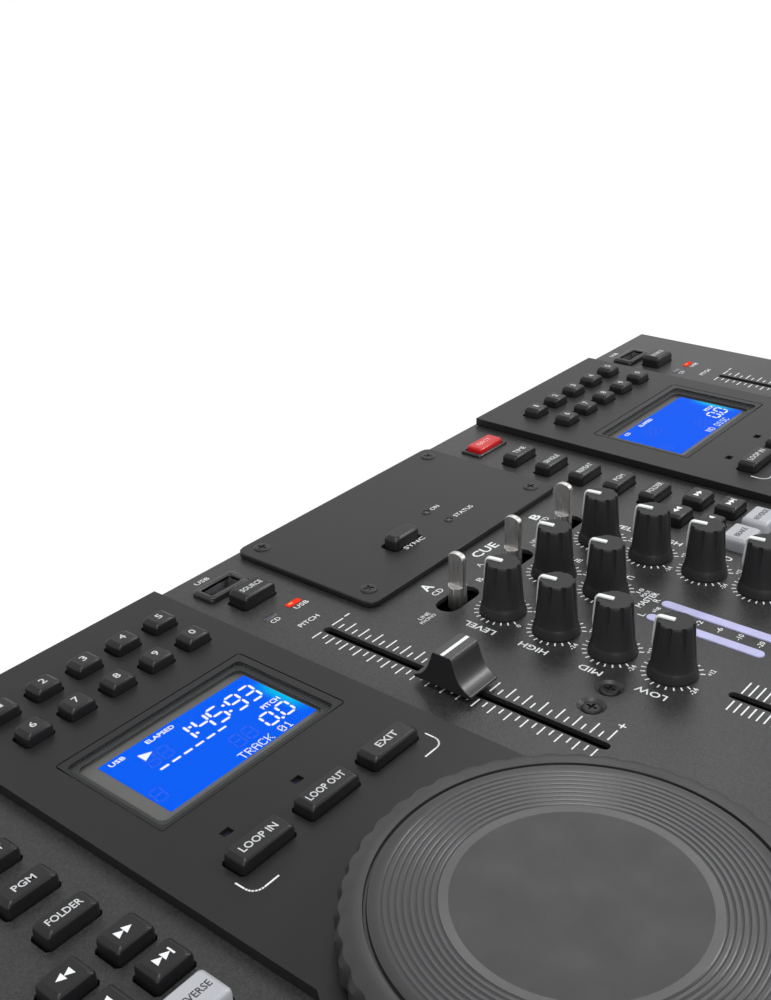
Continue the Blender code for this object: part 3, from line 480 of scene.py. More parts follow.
# Keys
# Moulded caps with sloped sides and a crisp crease round the flat top. One group is one moulding on
# hidden webs under the cover.
key_black = make_finish("key_satin", (0.010, 0.010, 0.011), 0.34, 0, 0.0003, 0.1, 0.06, 0.05, 0.02, 0.03, 0.25)
key_pale = make_finish("key_pale", (0.37, 0.38, 0.41), 0.38, 0, 0.0003, 0.06, 0.03, 0.03, 0.02, 0.03)
key_red = make_finish("key_red", (0.50, 0.010, 0.012), 0.24, 0, 0.0003, 0.05, 0.05, 0.05, 0.02, 0.03, 0.3)
key_web = 0.0012
key_play = 0.0002
number_pitch, number_row, loop_pitch, function_pitch, search_pitch = 0.01395, 0.0145, 0.0227, 0.01435, 0.0155


def ring_points(x, y, half_x, half_y, corner, steps=5):
    """Points round a rectangle with round corners, anticlockwise from above."""
    points = []
    corner = min(corner, half_x, half_y)
    for turn, (side_x, side_y) in enumerate(((1, 1), (-1, 1), (-1, -1), (1, -1))):
        for step in range(steps + 1):
            angle = math.pi / 2 * (turn + step / steps)
            points.append((x + side_x * (half_x - corner) + corner * math.cos(angle),
                           y + side_y * (half_y - corner) + corner * math.sin(angle)))
    return points


def add_block(bm, low, high):
    size = Vector(high) - Vector(low)
    middle = (Vector(high) + Vector(low)) / 2
    bmesh.ops.create_cube(bm, size=1, matrix=Matrix.Translation(middle) @ Matrix.Diagonal((*size, 1)))


def make_keys(node, places, size, top, shoulder, paint=key_black, slot="key_plastic", corner=0.0011):
    """Caps at places given as x and distance from the back: skirt, sloped shoulder and flat top."""
    low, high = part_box(node)
    inset_x, inset_y, drop = shoulder
    half_x, half_y = size[0] / 2 - key_play, size[1] / 2
    bm = bmesh.new()
    for x, back in places:
        levels = [(low.z + key_web / 2, ring_points(x + key_play, back_edge - back, half_x, half_y, corner))]
        for fall, share in ((drop + 0.0008, 0.0), (drop + 0.0002, 0.07), (drop * 0.72, 0.24), (drop * 0.35, 0.55),
                            (0.0, 1.0)):
            levels.append((top - fall, ring_points(x + key_play, back_edge - back, half_x - inset_x * share,
                                                   half_y - inset_y * share, corner - 0.0003 * share)))
        add_loft(bm, levels)
    if slot:
        add_block(bm, low, (high.x, high.y, low.z + key_web))
    name = node + ("_moulding" if slot else "_pale")
    soften(add_piece(name, bm, paint, body_of(node), (node,) if slot else (), 20), 0.00012, 2, 14)


for side, deck_x in deck_places.items():
    make_keys(f"number_keys_{side}", [(deck_x + 0.0289 - column * number_pitch, 0.0183 + row * number_row)
                                      for row in (0, 1) for column in range(5)],
              (0.0088, 0.0068), panel_top + 0.0033, (0.0015, 0.0007, 0.0010))
    make_keys(f"loop_keys_{side}", [(deck_x + 0.0007 + step * loop_pitch, 0.1104) for step in (-1, 0, 1)],
              (0.0174, 0.0069), panel_top + 0.0035, (0.0013, 0.0007, 0.0010))
    make_keys(f"function_keys_{side}", [(deck_x - 0.0620, 0.0339 + step * function_pitch) for step in range(5)],
              (0.0144, 0.0064), plate_top + 0.0040, (0.0015, 0.0007, 0.0010))
    make_keys(f"search_keys_{side}", [(deck_x - 0.0577 - column * search_pitch, 0.1058 + row * 0.0121)
                                      for column in (0, 1) for row in (0, 1)],
              (0.0108, 0.0078), plate_top + 0.0040, (0.0014, 0.0008, 0.0010))
    make_keys(f"search_keys_{side}", [(deck_x - 0.0604 - column * search_pitch, 0.1303) for column in (0, 1)],
              (0.0126, 0.0094), plate_top + 0.0040, (0.0014, 0.0009, 0.0010), key_pale, None)
    make_keys(f"eject_key_{side}", [(deck_x - 0.0607, 0.0168)], (0.0148, 0.0070), plate_top + 0.0027,
              (0.0006, 0.0006, 0.0006), key_red, "eject_plastic")
    make_keys(f"source_key_{side}", [(deck_x + 0.0606, 0.0250)], (0.0138, 0.0081), plate_top + 0.0045,
              (0.0015, 0.0008, 0.0011))
    for name, back in (("cue", 0.2180), ("play", 0.2400)):
        make_keys(f"{name}_key_{side}", [(deck_x - 0.0660, back)], (0.0200, 0.0135), plate_top + 0.0040,
                  (0.0015, 0.0013, 0.0012))


# Fader caps
# Concave front and back sides that flare to thin edges above the plate, and a white line across the
# top.
cap_black = make_finish("fader_cap", (0.015, 0.015, 0.016), 0.36, 0, 0.0003, 0.1, 0.06, 0.05, 0.02, 0.03)
print_white = make_finish("white_print", (0.72, 0.73, 0.74), 0.55, 0, 0.0003, 0.05, 0.03, 0.02)
cap_side = ((0.00955, 0.00180), (0.00975, 0.00220), (0.00960, 0.00270), (0.00880, 0.00310), (0.00760, 0.00370),
            (0.00650, 0.00460), (0.00565, 0.00570), (0.00500, 0.00690), (0.00445, 0.00820), (0.00400, 0.00950),
            (0.00360, 0.01080), (0.00330, 0.01170), (0.00285, 0.01220))
line_half = 0.00055


def make_cap(node):
    """The cap slides along Y, or along X when its wide side is turned across."""
    low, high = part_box(node)
    size = high - low
    half = min(size.x, size.y) / 2
    across = size.x > size.y
    place = Matrix.Translation(((low.x + high.x) / 2, (low.y + high.y) / 2, 0))
    place = place @ Matrix.Rotation(math.pi / 2 if across else 0, 4, "Z")
    outline = [(-run, rise) for run, rise in cap_side] + list(reversed(cap_side))
    bm = bmesh.new()
    ends = [[bm.verts.new((end, run, plate_top + rise)) for run, rise in outline] for end in (-half, half)]
    for i in range(len(outline)):
        bm.faces.new((ends[0][i - 1], ends[0][i], ends[1][i], ends[1][i - 1]))
    bm.faces.new(list(reversed(ends[0])))
    bm.faces.new(ends[1])
    add_block(bm, (-0.0010, -0.0030, low.z), (0.0010, 0.0030, plate_top + 0.0040))
    line = bmesh.new()
    add_block(line, (-half + 0.0002, -line_half, plate_top + 0.0120), (half - 0.0002, line_half, plate_top + 0.01224))
    for shape in (bm, line):
        bmesh.ops.transform(shape, matrix=place, verts=shape.verts)
    soften(add_piece(node + "_cap", bm, cap_black, node, (node,), 30), 0.0003, 2, 40)
    add_piece(node + "_line", line, print_white, node)


for node in ("pitch_fader_left", "pitch_fader_right", "channel_fader_a", "channel_fader_b", "crossfader"):
    make_cap(node)


# Rotary knobs
# A flared skirt, a tapered grip with eight wedge-shaped flutes, and a white pointer over the top
# and down the side.
knob_black = make_finish("knob_satin", (0.023, 0.023, 0.024), 0.38, 0, 0.0003, 0.10, 0.06, 0.05, 0.02, 0.03, 0.11)
knob_names = [f"{band}_knob_{channel}" for channel in "ab" for band in ("level", "high", "mid", "low")]
knob_names += ["cue_level_knob", "mic_level_knob"]
knob_places = {node: (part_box(node)[0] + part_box(node)[1]) / 2 for node in knob_names}
flutes = 8
knob_turn = math.radians(8)
knob_levels = (
    (0.00015, 0.00705, 0.0003, 0), (0.0003, 0.00714, 0.0003, 0), (0.0006, 0.00713, 0.0003, 0),
    (0.0016, 0.00690, 0.0003, 0), (0.0026, 0.00663, 0.0003, 0), (0.0029, 0.00650, 0.0003, 0),
    (0.0031, 0.00638, 0.0003, 0), (0.0034, 0.00628, 0.0003, 0), (0.0066, 0.00602, 0.0003, 0),
    (0.0070, 0.00599, 0.00036, 0.00018), (0.0120, 0.00558, 0.0010, 0.00055),
    (0.0160, 0.00526, 0.0015, 0.00078), (0.0164, 0.00519, 0.0015, 0.00070), (0.0167, 0.00504, 0.0014, 0.00050),
    (0.0168, 0.00485, 0.0013, 0.00024), (0.0168, 0.00455, 0.0012, 0),
)
pointer_rows = (
    (0.0003, 0.01730, 0.0003, 0.01640, 0.00074), (0.0045, 0.01730, 0.0040, 0.01640, 0.00074),
    (0.0051, 0.01714, 0.0042, 0.01630, 0.00074), (0.0056, 0.01670, 0.0044, 0.01610, 0.00072),
    (0.0059, 0.01600, 0.0046, 0.01560, 0.00066), (0.0063, 0.01250, 0.0050, 0.01250, 0.00050),
    (0.0066, 0.00850, 0.0054, 0.00850, 0.00036), (0.0064, 0.00660, 0.0056, 0.00660, 0.00026),
)


def knob_ring(radius, wide, deep, between=9):
    """Points round the grip, with a wedge cut in at each flute."""
    points = []
    for flute in range(flutes):
        middle = math.tau * flute / flutes
        half = wide / 2 / radius
        points += [(radius, middle - half), (radius - deep, middle - half * 0.35),
                   (radius - deep, middle + half * 0.35), (radius, middle + half)]
        span = math.tau / flutes - 2 * half
        points += [(radius, middle + half + span * (step + 1) / (between + 1)) for step in range(between)]
    return [(r * math.cos(angle), r * math.sin(angle)) for r, angle in points]


def make_knob(node):
    low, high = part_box(node)
    bm = bmesh.new()
    add_loft(bm, [(plate_top + rise, knob_ring(radius, wide, deep)) for rise, radius, wide, deep in knob_levels])
    add_turned(bm, 0, 0, [(0.0030, low.z), (0.0030, plate_top + 0.0010)], 32)
    pointer = bmesh.new()
    rows = []
    for outer_y, outer_rise, inner_y, inner_rise, wide in pointer_rows:
        section = ((-wide, outer_y, outer_rise), (wide, outer_y, outer_rise),
                   (wide, inner_y, inner_rise), (-wide, inner_y, inner_rise))
        rows.append([pointer.verts.new((x, y, plate_top + rise)) for x, y, rise in section])
    for first, second in zip(rows, rows[1:]):
        for i in range(4):
            pointer.faces.new((first[i - 1], first[i], second[i], second[i - 1]))
    pointer.faces.new(rows[0])
    pointer.faces.new(rows[-1])
    middle = knob_places[node]
    place = Matrix.Translation((middle.x, middle.y, 0)) @ Matrix.Rotation(knob_turn, 4, "Z")
    for shape in (bm, pointer):
        bmesh.ops.transform(shape, matrix=place, verts=shape.verts)
    add_piece(node + "_grip", bm, knob_black, node, (node,))
    soften(add_piece(node + "_pointer", pointer, print_white, node, (), 50), 0.00022, 2, 50)


for node in knob_names:
    make_knob(node)


# Switch levers
# A turned nickel rod on a ball. Two flats milled on its upper half leave a paddle with an arched end.
lever_radius, paddle_half, ball_radius = 0.0029, 0.0010, 0.0025
lever_tip, lever_arch = 0.0158, 0.0021


def make_brushed(name, colour, roughness):
    """Metal with fine scratches that run up the paddle."""
    paint, tree, shader = make_paint(name, {"Metallic": 1})
    place = wire(tree, "ShaderNodeTexCoord", {}, "Object")
    along = wire(tree, "ShaderNodeMapping", {"Vector": place, "Scale": (4200, 4200, 260)})
    streak = wire(tree, "ShaderNodeTexNoise", {"Vector": along, "Scale": 1, "Detail": 3})
    shade = wire(tree, "ShaderNodeVectorMath", {0: colour, "Scale": swing(tree, streak, 0.985, 0.265)},
                 operation="SCALE")
    bump = wire(tree, "ShaderNodeBump", {"Height": streak, "Strength": 0.12, "Distance": 0.00005})
    tree.links.new(shade, shader.inputs["Base Color"])
    tree.links.new(swing(tree, streak, roughness, 0.08), shader.inputs["Roughness"])
    tree.links.new(bump, shader.inputs["Normal"])
    return paint


def make_lever(node):
    """Each level is a height, the radius, and how far the round is left before a flat cuts it."""
    low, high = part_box(node)
    middle = (low + high) / 2
    levels = []
    for step in range(9):
        angle = math.pi * (step + 0.5) / 9 - math.pi / 2
        levels.append((low.z + ball_radius * (1 + math.sin(angle)), ball_radius * math.cos(angle), ball_radius))
    levels += [(plate_top - 0.0040, 0.0024, 0.0024), (plate_top - 0.0030, lever_radius, lever_radius)]
    levels += [(plate_top + rise, lever_radius, flat)
               for rise, flat in ((0.0044, lever_radius), (0.0046, 0.0027), (0.0047, 0.0020), (0.0048, 0.0012),
                                  (0.0049, paddle_half), (0.0052, paddle_half))]
    for step in range(12):
        share = math.sin(math.pi / 2 * step / 11)
        reach = (1 - min(share, 0.999) ** 2.3) ** (1 / 2.3)
        levels.append((plate_top + lever_tip - lever_arch + lever_arch * share, lever_radius * max(reach, 0.03),
                       paddle_half))
    bm = bmesh.new()
    add_loft(bm, [(height, [(middle.x + max(-flat, min(flat, x)), middle.y + y)
                            for x, y in circle(0, 0, radius, 64)]) for height, radius, flat in levels])
    soften(add_piece(node + "_rod", bm, nickel, node, (node,), 30), 0.00014, 2, 40)


nickel = make_brushed("nickel", (0.47, 0.46, 0.45), 0.42)
for node in ("source_lever_a", "cue_lever", "source_lever_b"):
    make_lever(node)


# Receiver plate
# A smooth moulding set into the cover, with a key. Its four screws and two lamps are further on.
receiver_top = 0.0822
receiver_satin = make_finish("receiver_satin", (0.015, 0.015, 0.016), 0.36, 0, 0.0003, 0.06, 0.08, 0.05, 0.03, 0.03,
                             0.19)
moulded = edged("receiver_plate", "receiver_plate_moulded", receiver_satin, 0.0005, 3)
moulded.modifiers["soft_edges"].use_clamp_overlap = False
make_keys("receiver_button", [(-0.0143, 0.0417)], (0.0134, 0.0062), receiver_top + 0.0040,
          (0.0014, 0.0008, 0.0011), corner=0.0022)


# Screens
# A mask on the back of each clear window frames a lit blue display under it. The mask's mid grey
# paints the window's reflection of the pale room, and the display case's paler grey round the lit
# area paints that reflection in the glass. The display's words, seven segment figures and dotted
# characters are white.
screen_face = 0.0800
ink_low, ink_high = screen_face + 0.00024, screen_face + 0.00034
print_sink, print_rise = 0.00006, 0.00004
lit_left, lit_right, lit_back, lit_front = -0.0232, 0.0284, 0.0538, 0.0813
skin_depth = 0.00015
# Painted reflection: the mask is mid grey so that it shows the clear window's reflection of the pale room.
display_mask_painted_reflection = make_finish("display_mask_painted_reflection", (0.056, 0.056, 0.057), 0.6, 0, 0.0004, 0, 0.02, 0.03, 0.03, 0.02, 0.1)
# Painted reflection: the display case is pale grey so that it shows the clear window's reflection round the lit area.
case_grey_painted_reflection = make_finish("display_case_painted_reflection", (0.135, 0.130, 0.125), 0.3, 0, 0.0004, 0.0, 0.02, 0.04, 0.01,
                         0.02, 0.1)
segments = {
    "a": ((0.09, 1.0), (0.91, 1.0)), "b": ((1.0, 0.96), (1.0, 0.54)), "c": ((1.0, 0.46), (1.0, 0.04)),
    "d": ((0.09, 0.0), (0.91, 0.0)), "e": ((0.0, 0.46), (0.0, 0.04)), "f": ((0.0, 0.96), (0.0, 0.54)),
    "g": ((0.09, 0.5), (0.91, 0.5)),
}
figures = {"0": "abcdef", "1": "bc", "3": "abcdg", "4": "bcfg", "5": "acdfg", "9": "abcdfg", "8": "abcdefg"}
dots = {
    "T": ("11111", "00100", "00100", "00100", "00100", "00100", "00100"),
    "R": ("11110", "10001", "10001", "11110", "10100", "10010", "10001"),
    "A": ("01110", "10001", "10001", "11111", "10001", "10001", "10001"),
    "C": ("01110", "10001", "10000", "10000", "10000", "10001", "01110"),
    "K": ("10001", "10010", "10100", "11000", "10100", "10010", "10001"),
    "N": ("10001", "11001", "10101", "10101", "10011", "10001", "10001"),
    "O": ("01110", "10001", "10001", "10001", "10001", "10001", "01110"),
    "D": ("11110", "10001", "10001", "10001", "10001", "10001", "11110"),
    "I": ("01110", "00100", "00100", "00100", "00100", "00100", "01110"),
    "S": ("01111", "10000", "10000", "01110", "00001", "00001", "11110"),
    "1": ("00100", "01100", "00100", "00100", "00100", "00100", "01110"),
    "0": ("01110", "10001", "10011", "10101", "11001", "10001", "01110"),
    " ": ("00000",) * 7,
}


def make_lit_blue(name, edge_x, middle_y):
    """An even blue light, paler along the edge where the lamp behind it sits."""
    paint, tree, _ = make_paint(name, {})
    place = wire(tree, "ShaderNodeTexCoord", {}, "Object")
    run, across = (wire(tree, "ShaderNodeSeparateXYZ", {0: place}, axis) for axis in "XY")
    off = maths(tree, "ABSOLUTE", maths(tree, "SUBTRACT", across, middle_y))
    near = [wire(tree, "ShaderNodeMapRange", {"Value": value, "From Min": low, "From Max": high},
                 interpolation_type="SMOOTHSTEP")
            for value, low, high in ((run, edge_x - 0.0045, edge_x), (off, 0.0120, 0.0020))]
    colour = wire(tree, "ShaderNodeMix", {
        "Factor": maths(tree, "MULTIPLY", *near), "A": (0.0, 0.115, 1.0, 1), "B": (0.0, 0.55, 0.90, 1),
    }, "Result", data_type="RGBA")
    glow = wire(tree, "ShaderNodeEmission", {"Color": colour})
    tree.links.new(glow, tree.nodes["Material Output"].inputs["Surface"])
    return paint


def make_lit(name, colour):
    """A lamp or ink that shows one even colour."""
    return make_paint(name, {"Base Color": (0.02, 0.02, 0.02, 1), "Emission Color": (*colour, 1),
                             "Emission Strength": 1, "Specular IOR Level": 0})[0]


def make_clear(name):
    """Clear acrylic. It is thin, so it lets light straight through and adds its reflection."""
    gloss_share = 0.16
    paint, tree, shader = make_paint(name, {})
    tree.nodes.remove(shader)
    through = wire(tree, "ShaderNodeBsdfTransparent", {"Color": (0.96, 0.97, 0.97, 1)})
    sheen = wire(tree, "ShaderNodeBsdfGlossy", {"Roughness": 0.02})
    fresnel = wire(tree, "ShaderNodeFresnel", {"IOR": 1.45})
    front = maths(tree, "SUBTRACT", 1, wire(tree, "ShaderNodeNewGeometry", {}, "Backfacing"))
    share = maths(tree, "MULTIPLY", maths(tree, "MULTIPLY", fresnel, front), gloss_share)
    mixed = wire(tree, "ShaderNodeMixShader", {0: share, 1: through, 2: sheen})
    tree.links.new(mixed, tree.nodes["Material Output"].inputs["Surface"])
    return paint


def box_ring(low, high, inset, corner, steps=5, move=(0, 0)):
    """The outline of a box from above, drawn in on each side and moved."""
    middle, half = (low + high) / 2, (high - low) / 2
    return ring_points(middle.x + move[0], middle.y + move[1], half.x - inset[0], half.y - inset[1], corner, steps)


def add_slab(bm, x, y, half_x, half_y, low, high):
    add_block(bm, (x - half_x, y - half_y, low), (x + half_x, y + half_y, high))


def add_figure(bm, text, x, y, wide, tall, gap, half, low=ink_low, high=ink_high):
    """Seven segment figures from the lower left corner, made of flat bars with pointed ends."""
    slant = 0.13
    for mark in text:
        if mark in ".:":
            for share in ((0.0,) if mark == "." else (0.25, 0.75)):
                ring = ring_points(x + slant * tall * share, y + tall * share, half * 1.1, half * 1.1, half * 0.3, 1)
                add_loft(bm, [(low, ring), (high, ring)])
            x += gap * 1.15
            continue
        for segment in figures[mark]:
            start, end = (Vector((x + across * wide + slant * tall * up, y + up * tall))
                          for across, up in segments[segment])
            run = (end - start).normalized() * half
            over = Vector((-run.y, run.x))
            ring = [start, start + run - over, end - run - over, end, end - run + over, start + run + over]
            add_loft(bm, [(low, ring), (high, ring)])
        x += wide + gap


def add_dots(bm, text, x, y, pitch, size):
    """Characters of small square dots from the lower left corner."""
    for mark in text:
        for row, line in enumerate(dots[mark]):
            for column, lit in enumerate(line):
                if lit == "1":
                    add_slab(bm, x + column * pitch, y + (6 - row) * pitch, size / 2, size / 2, ink_low, ink_high)
        x += pitch * 6


def add_word(bm, text, x, y, z, width, height, turn=0, bold=0.0):
    """Flat printed letters centred on a place."""
    curve = bpy.data.curves.new("word", "FONT")
    curve.body = text
    curve.align_x = "CENTER"
    curve.size = 1
    curve.offset = bold
    curve.resolution_u = 2
    holder = bpy.data.objects.new("word", curve)
    bpy.context.scene.collection.objects.link(holder)
    bpy.context.view_layer.update()
    mesh = bpy.data.meshes.new_from_object(holder.evaluated_get(bpy.context.evaluated_depsgraph_get()))
    bpy.data.objects.remove(holder)
    bpy.data.curves.remove(curve)
    letters = bmesh.new()
    letters.from_mesh(mesh)
    bmesh.ops.remove_doubles(letters, verts=letters.verts, dist=0.0001)
    across = [vert.co.x for vert in letters.verts]
    along = [vert.co.y for vert in letters.verts]
    middle = ((max(across) + min(across)) / 2, (max(along) + min(along)) / 2)
    scale = (width / (max(across) - min(across)), height / (max(along) - min(along)))
    for vert in letters.verts:
        vert.co = ((vert.co.x - middle[0]) * scale[0], (vert.co.y - middle[1]) * scale[1], 0)
    drawn = bmesh.ops.extrude_face_region(letters, geom=letters.faces[:])
    top = [part for part in drawn["geom"] if isinstance(part, bmesh.types.BMVert)]
    bmesh.ops.translate(letters, vec=(0, 0, print_rise + print_sink), verts=top)
    place = Matrix.Translation((x, y, z - print_sink)) @ Matrix.Rotation(math.radians(turn), 4, "Z")
    bmesh.ops.transform(letters, matrix=place, verts=letters.verts)
    bmesh.ops.recalc_face_normals(letters, faces=letters.faces)
    letters.to_mesh(mesh)
    letters.free()
    bm.from_mesh(mesh)
    bpy.data.meshes.remove(mesh)


lit_white = make_lit("lit_white", (0.92, 0.97, 1.0))
unlit_blue = make_lit("unlit_segment", (0.0, 0.095, 0.88))
clear = make_clear("clear_window")
lit_half = ((lit_right - lit_left) / 2, (lit_front - lit_back) / 2)
for side, deck_x in deck_places.items():
    low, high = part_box(f"display_module_{side}")
    case = box_ring(low, high, (0, 0), 0.001, 3)
    bm = bmesh.new()
    add_loft(bm, [(low.z, case), (screen_face, case)])
    # The case's pale grey is a painted reflection of the room in the glass round the lit area.
    add_piece(f"display_module_{side}_case", bm, case_grey_painted_reflection, "console", (f"display_module_{side}",))
    dress(f"screen_window_{side}", clear)
    lit_x, lit_y = deck_x + (lit_left + lit_right) / 2, back_edge - (lit_back + lit_front) / 2
    low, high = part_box(f"screen_window_{side}")
    pane = box_ring(low, high, (0.0001, 0.0001), 0.0006)
    opening = ring_points(lit_x - 0.0024, lit_y - 0.0002, lit_half[0] + 0.0026, lit_half[1] + 0.0026, 0.0020)
    border = box_ring(low, high, (0.0019, 0.0018), 0.0016, 5, (-0.0007, -0.0006))
    # The mask's grey is a painted reflection of the room in the window.
    for name, inner, level, paint in (("mask", opening, low.z - 0.00025, display_mask_painted_reflection),
                                      ("border", border, high.z - 0.00008, deck_satin)):
        bm = bmesh.new()
        add_loft(bm, [(level, pane), (level + skin_depth, pane), (level + skin_depth, inner), (level, inner)], True)
        add_piece(f"screen_{name}_{side}", bm, paint)
    bm = bmesh.new()
    add_slab(bm, lit_x, lit_y, *lit_half, screen_face, screen_face + 0.00028)
    blue = make_lit_blue(f"lit_blue_{side}", lit_x + lit_half[0], lit_y - lit_half[1] * 0.10)
    add_piece(f"display_{side}_lit_area", bm, blue)
    marks, ghost = bmesh.new(), bmesh.new()
    x, y = deck_x - 0.0023, back_edge - 0.0020
    for text, run, back, wide, tall in (
            ("ELAPSED", -0.0020, 0.0537, 0.0094, 0.0016), ("PITCH", 0.0256, 0.0672, 0.0064, 0.0018),
            ("CD", -0.0164, 0.0537, 0.0034, 0.0016) if side == "right" else ("USB", -0.0164, 0.0537, 0.0048, 0.0016)):
        add_word(marks, text, x + run, y - back, screen_face + 0.0003, wide, tall, bold=0.01)
    if side == "left":
        add_figure(marks, "1:45:93", x - 0.0011, y - 0.0630, 0.0040, 0.0070, 0.0013, 0.00040)
        for step in range(6):
            add_slab(marks, x + 0.0096 - step * 0.0040, y - 0.06515, 0.0014, 0.00035, ink_low, ink_high)
        arrow = [(x - 0.0117, y - 0.0594), (x - 0.0081, y - 0.0577), (x - 0.0117, y - 0.0560)]
        add_loft(marks, [(ink_low, arrow), (ink_high, arrow)])
    add_figure(marks, "0.0", x + 0.0181, y - 0.0747, 0.0037, 0.0053, 0.00105, 0.00038)
    for text, run, back in (("88", 0.0065, 0.0747), ("88", -0.0125, 0.0630), ("8", -0.0205, 0.0747)):
        add_figure(ghost, text, x + run, y - back, 0.0032, 0.0050, 0.0012, 0.0003, screen_face + 0.0002,
                   screen_face + 0.0003)
    add_dots(marks, "TRACK 01" if side == "left" else "NO DISC", x + 0.0040, y - 0.0790, 0.00040, 0.00030)
    add_piece(f"display_{side}_figures", marks, lit_white)
    add_piece(f"display_{side}_unlit_figures", ghost, unlit_blue)


# Screws
# Countersunk black screws with a cross in the head hold the receiver plate and the pitch fader.
blackened = make_finish("black_screw", (0.018, 0.018, 0.020), 0.42, 0.6, 0.0003, 0.08, 0.1, 0.12, 0.004)


def add_screw(bm, x, y, z, radius, rise, angle):
    """A low domed head with a cross recess."""
    arm, slot_half, depth = radius * 0.58, radius * 0.13, radius * 0.35
    dome = ((1.0, -0.0006), (1.0, rise * 0.35), (0.92, rise * 0.75), (0.75, rise), (0.66, rise))
    rings = add_turned(bm, x, y, [(radius * share, z + height) for share, height in dome], 32)
    bm.faces.remove(bm.faces.get(rings[-1]))
    cross = []
    for quarter in range(4):
        turn = angle + math.pi / 2 * quarter
        c, s = math.cos(turn), math.sin(turn)
        for run, off in ((arm, -slot_half), (arm, slot_half), (slot_half, slot_half)):
            cross.append((x + run * c - off * s, y + run * s + off * c))
    top, floor = ([bm.verts.new((*spot, height)) for spot in cross] for height in (z + rise, z + rise - depth))
    for i in range(len(cross)):
        bm.faces.new((top[i], top[i - 1], floor[i - 1], floor[i]))
    bm.faces.new(floor)
    edges = [bm.edges.get((ring[i - 1], ring[i])) for ring in (rings[-1], top) for i in range(len(ring))]
    bmesh.ops.triangle_fill(bm, use_beauty=True, use_dissolve=False, edges=edges)


bm = bmesh.new()
for x in (-0.0448, 0.0448):
    for back in (0.0069, 0.0534):
        add_screw(bm, x, back_edge - back, receiver_top, 0.0028, 0.0004, x * 40 + back * 50)
add_piece("receiver_screws", bm, blackened, smooth=30)
bm = bmesh.new()
for x, y in dimples:
    add_screw(bm, x, y, plate_top - 0.0009, 0.0027, 0.0007, x * 30)
add_piece("pitch_fader_screws", bm, blackened, smooth=30)


# Lamps, rims and light bars
# Small moulded rims stand round the eject keys and the stick sockets. The lamps are clear or
# coloured lenses, and the two level bars are milky strips set flush in the cover.
rim_black = make_finish("rim_black", (0.014, 0.014, 0.015), 0.30, 0, 0.0003, 0.05, 0.05, 0.05, 0.02, 0.03, 0.35)
bar_lilac = make_finish("bar_lilac", (0.40, 0.40, 0.64), 0.4, 0, 0.0006, 0.02, 0.02, 0.08, 0.006, 0.03)
lens_dark = make_finish("lens_unlit", (0.020, 0.018, 0.036), 0.2, 0, 0.0006, 0.0, 0.02, 0.05)
lens_rust = make_finish("lens_unlit_red", (0.034, 0.014, 0.014), 0.2, 0, 0.0006, 0.0, 0.02, 0.05)
lens_red = make_lit("lens_lit_red", (0.95, 0.02, 0.0))
lens_core = make_lit("lens_lit_core", (1.0, 0.42, 0.10))
socket_steel = make_finish("socket_steel", (0.50, 0.50, 0.50), 0.3, 1.0, 0.0004, 0.03, 0.03, 0.05, 0.004)
stick_x, stick_back = 0.0587, 0.0131
lamp_back = 0.0374


def flat_rings(x, back, sections, steps=5):
    """Rings over the plate, each listed as rise, half width, half depth and corner."""
    return [(plate_top + rise, ring_points(x, back_edge - back, half_x, half_y, corner, steps))
            for rise, half_x, half_y, corner in sections]


for side, deck_x in deck_places.items():
    bm = bmesh.new()
    add_loft(bm, flat_rings(deck_x - 0.0607, 0.0168, (
        (-0.0002, 0.00915, 0.00465, 0.0010), (0.0006, 0.00915, 0.00465, 0.0010),
        (0.00095, 0.00895, 0.00445, 0.0010), (0.0011, 0.00865, 0.00415, 0.0010),
        (0.0011, 0.00805, 0.00415, 0.0006), (0.0009, 0.00765, 0.00375, 0.0005),
        (-0.0002, 0.00765, 0.00375, 0.0005))), True)
    add_piece(f"eject_rim_{side}", bm, rim_black, smooth=40)
    bm = bmesh.new()
    add_loft(bm, flat_rings(deck_x + stick_x + 0.0004, stick_back - 0.0002, (
        (-0.0002, 0.00890, 0.00480, 0.0018), (0.0008, 0.00885, 0.00475, 0.0018), (0.0014, 0.00860, 0.00450, 0.0018),
        (0.0018, 0.00810, 0.00400, 0.0018), (0.0019, 0.00760, 0.00350, 0.0018),
    )) + flat_rings(deck_x + stick_x, stick_back, (
        (0.0018, 0.0066, 0.0029, 0.0006), (0.0014, 0.0063, 0.0026, 0.0006), (-0.0002, 0.0063, 0.0026, 0.0006))), True)
    add_piece(f"stick_socket_rim_{side}", bm, rim_black, smooth=40)
    bm = bmesh.new()
    add_loft(bm, flat_rings(deck_x + stick_x, stick_back, (
        (-0.0100, 0.00625, 0.00255, 0.0004), (0.0008, 0.00625, 0.00255, 0.0004),
        (0.0008, 0.00595, 0.00225, 0.0004), (-0.0100, 0.00595, 0.00225, 0.0004))), True)
    add_piece(f"stick_socket_shell_{side}", bm, socket_steel, smooth=40)
    bm = bmesh.new()
    add_slab(bm, deck_x + stick_x, back_edge - stick_back - 0.0010, 0.0055, 0.0006, 0.0700, 0.0797)
    soften(add_piece(f"stick_socket_tongue_{side}", bm, key_pale), 0.0002, 1)
    for name, x, lens, rise in (("usb", 0.0661, lens_red, 0.0004), ("cd", 0.0556, lens_dark, 0.00015)):
        bm = bmesh.new()
        add_loft(bm, flat_rings(deck_x + x, lamp_back, (
            (-0.0003, 0.0027, 0.0010, 0.0003), (rise * 0.6, 0.0027, 0.0010, 0.0003),
            (rise, 0.0025, 0.0008, 0.0002)), 2))
        add_piece(f"lamp_{name}_{side}", bm, lens, smooth=40)
    bm = bmesh.new()
    add_slab(bm, deck_x + 0.06485, back_edge - lamp_back, 0.00085, 0.00032, plate_top + 0.0002, plate_top + 0.00044)
    add_piece(f"lamp_core_{side}", bm, lens_core)
    bm = bmesh.new()
    for x in (-0.0226, 0.0012):
        add_slab(bm, deck_x + x, back_edge - 0.1002, 0.0018, 0.0012, panel_top - 0.0030, panel_top - 0.0012)
    add_piece(f"loop_lamps_{side}", bm, lens_dark)

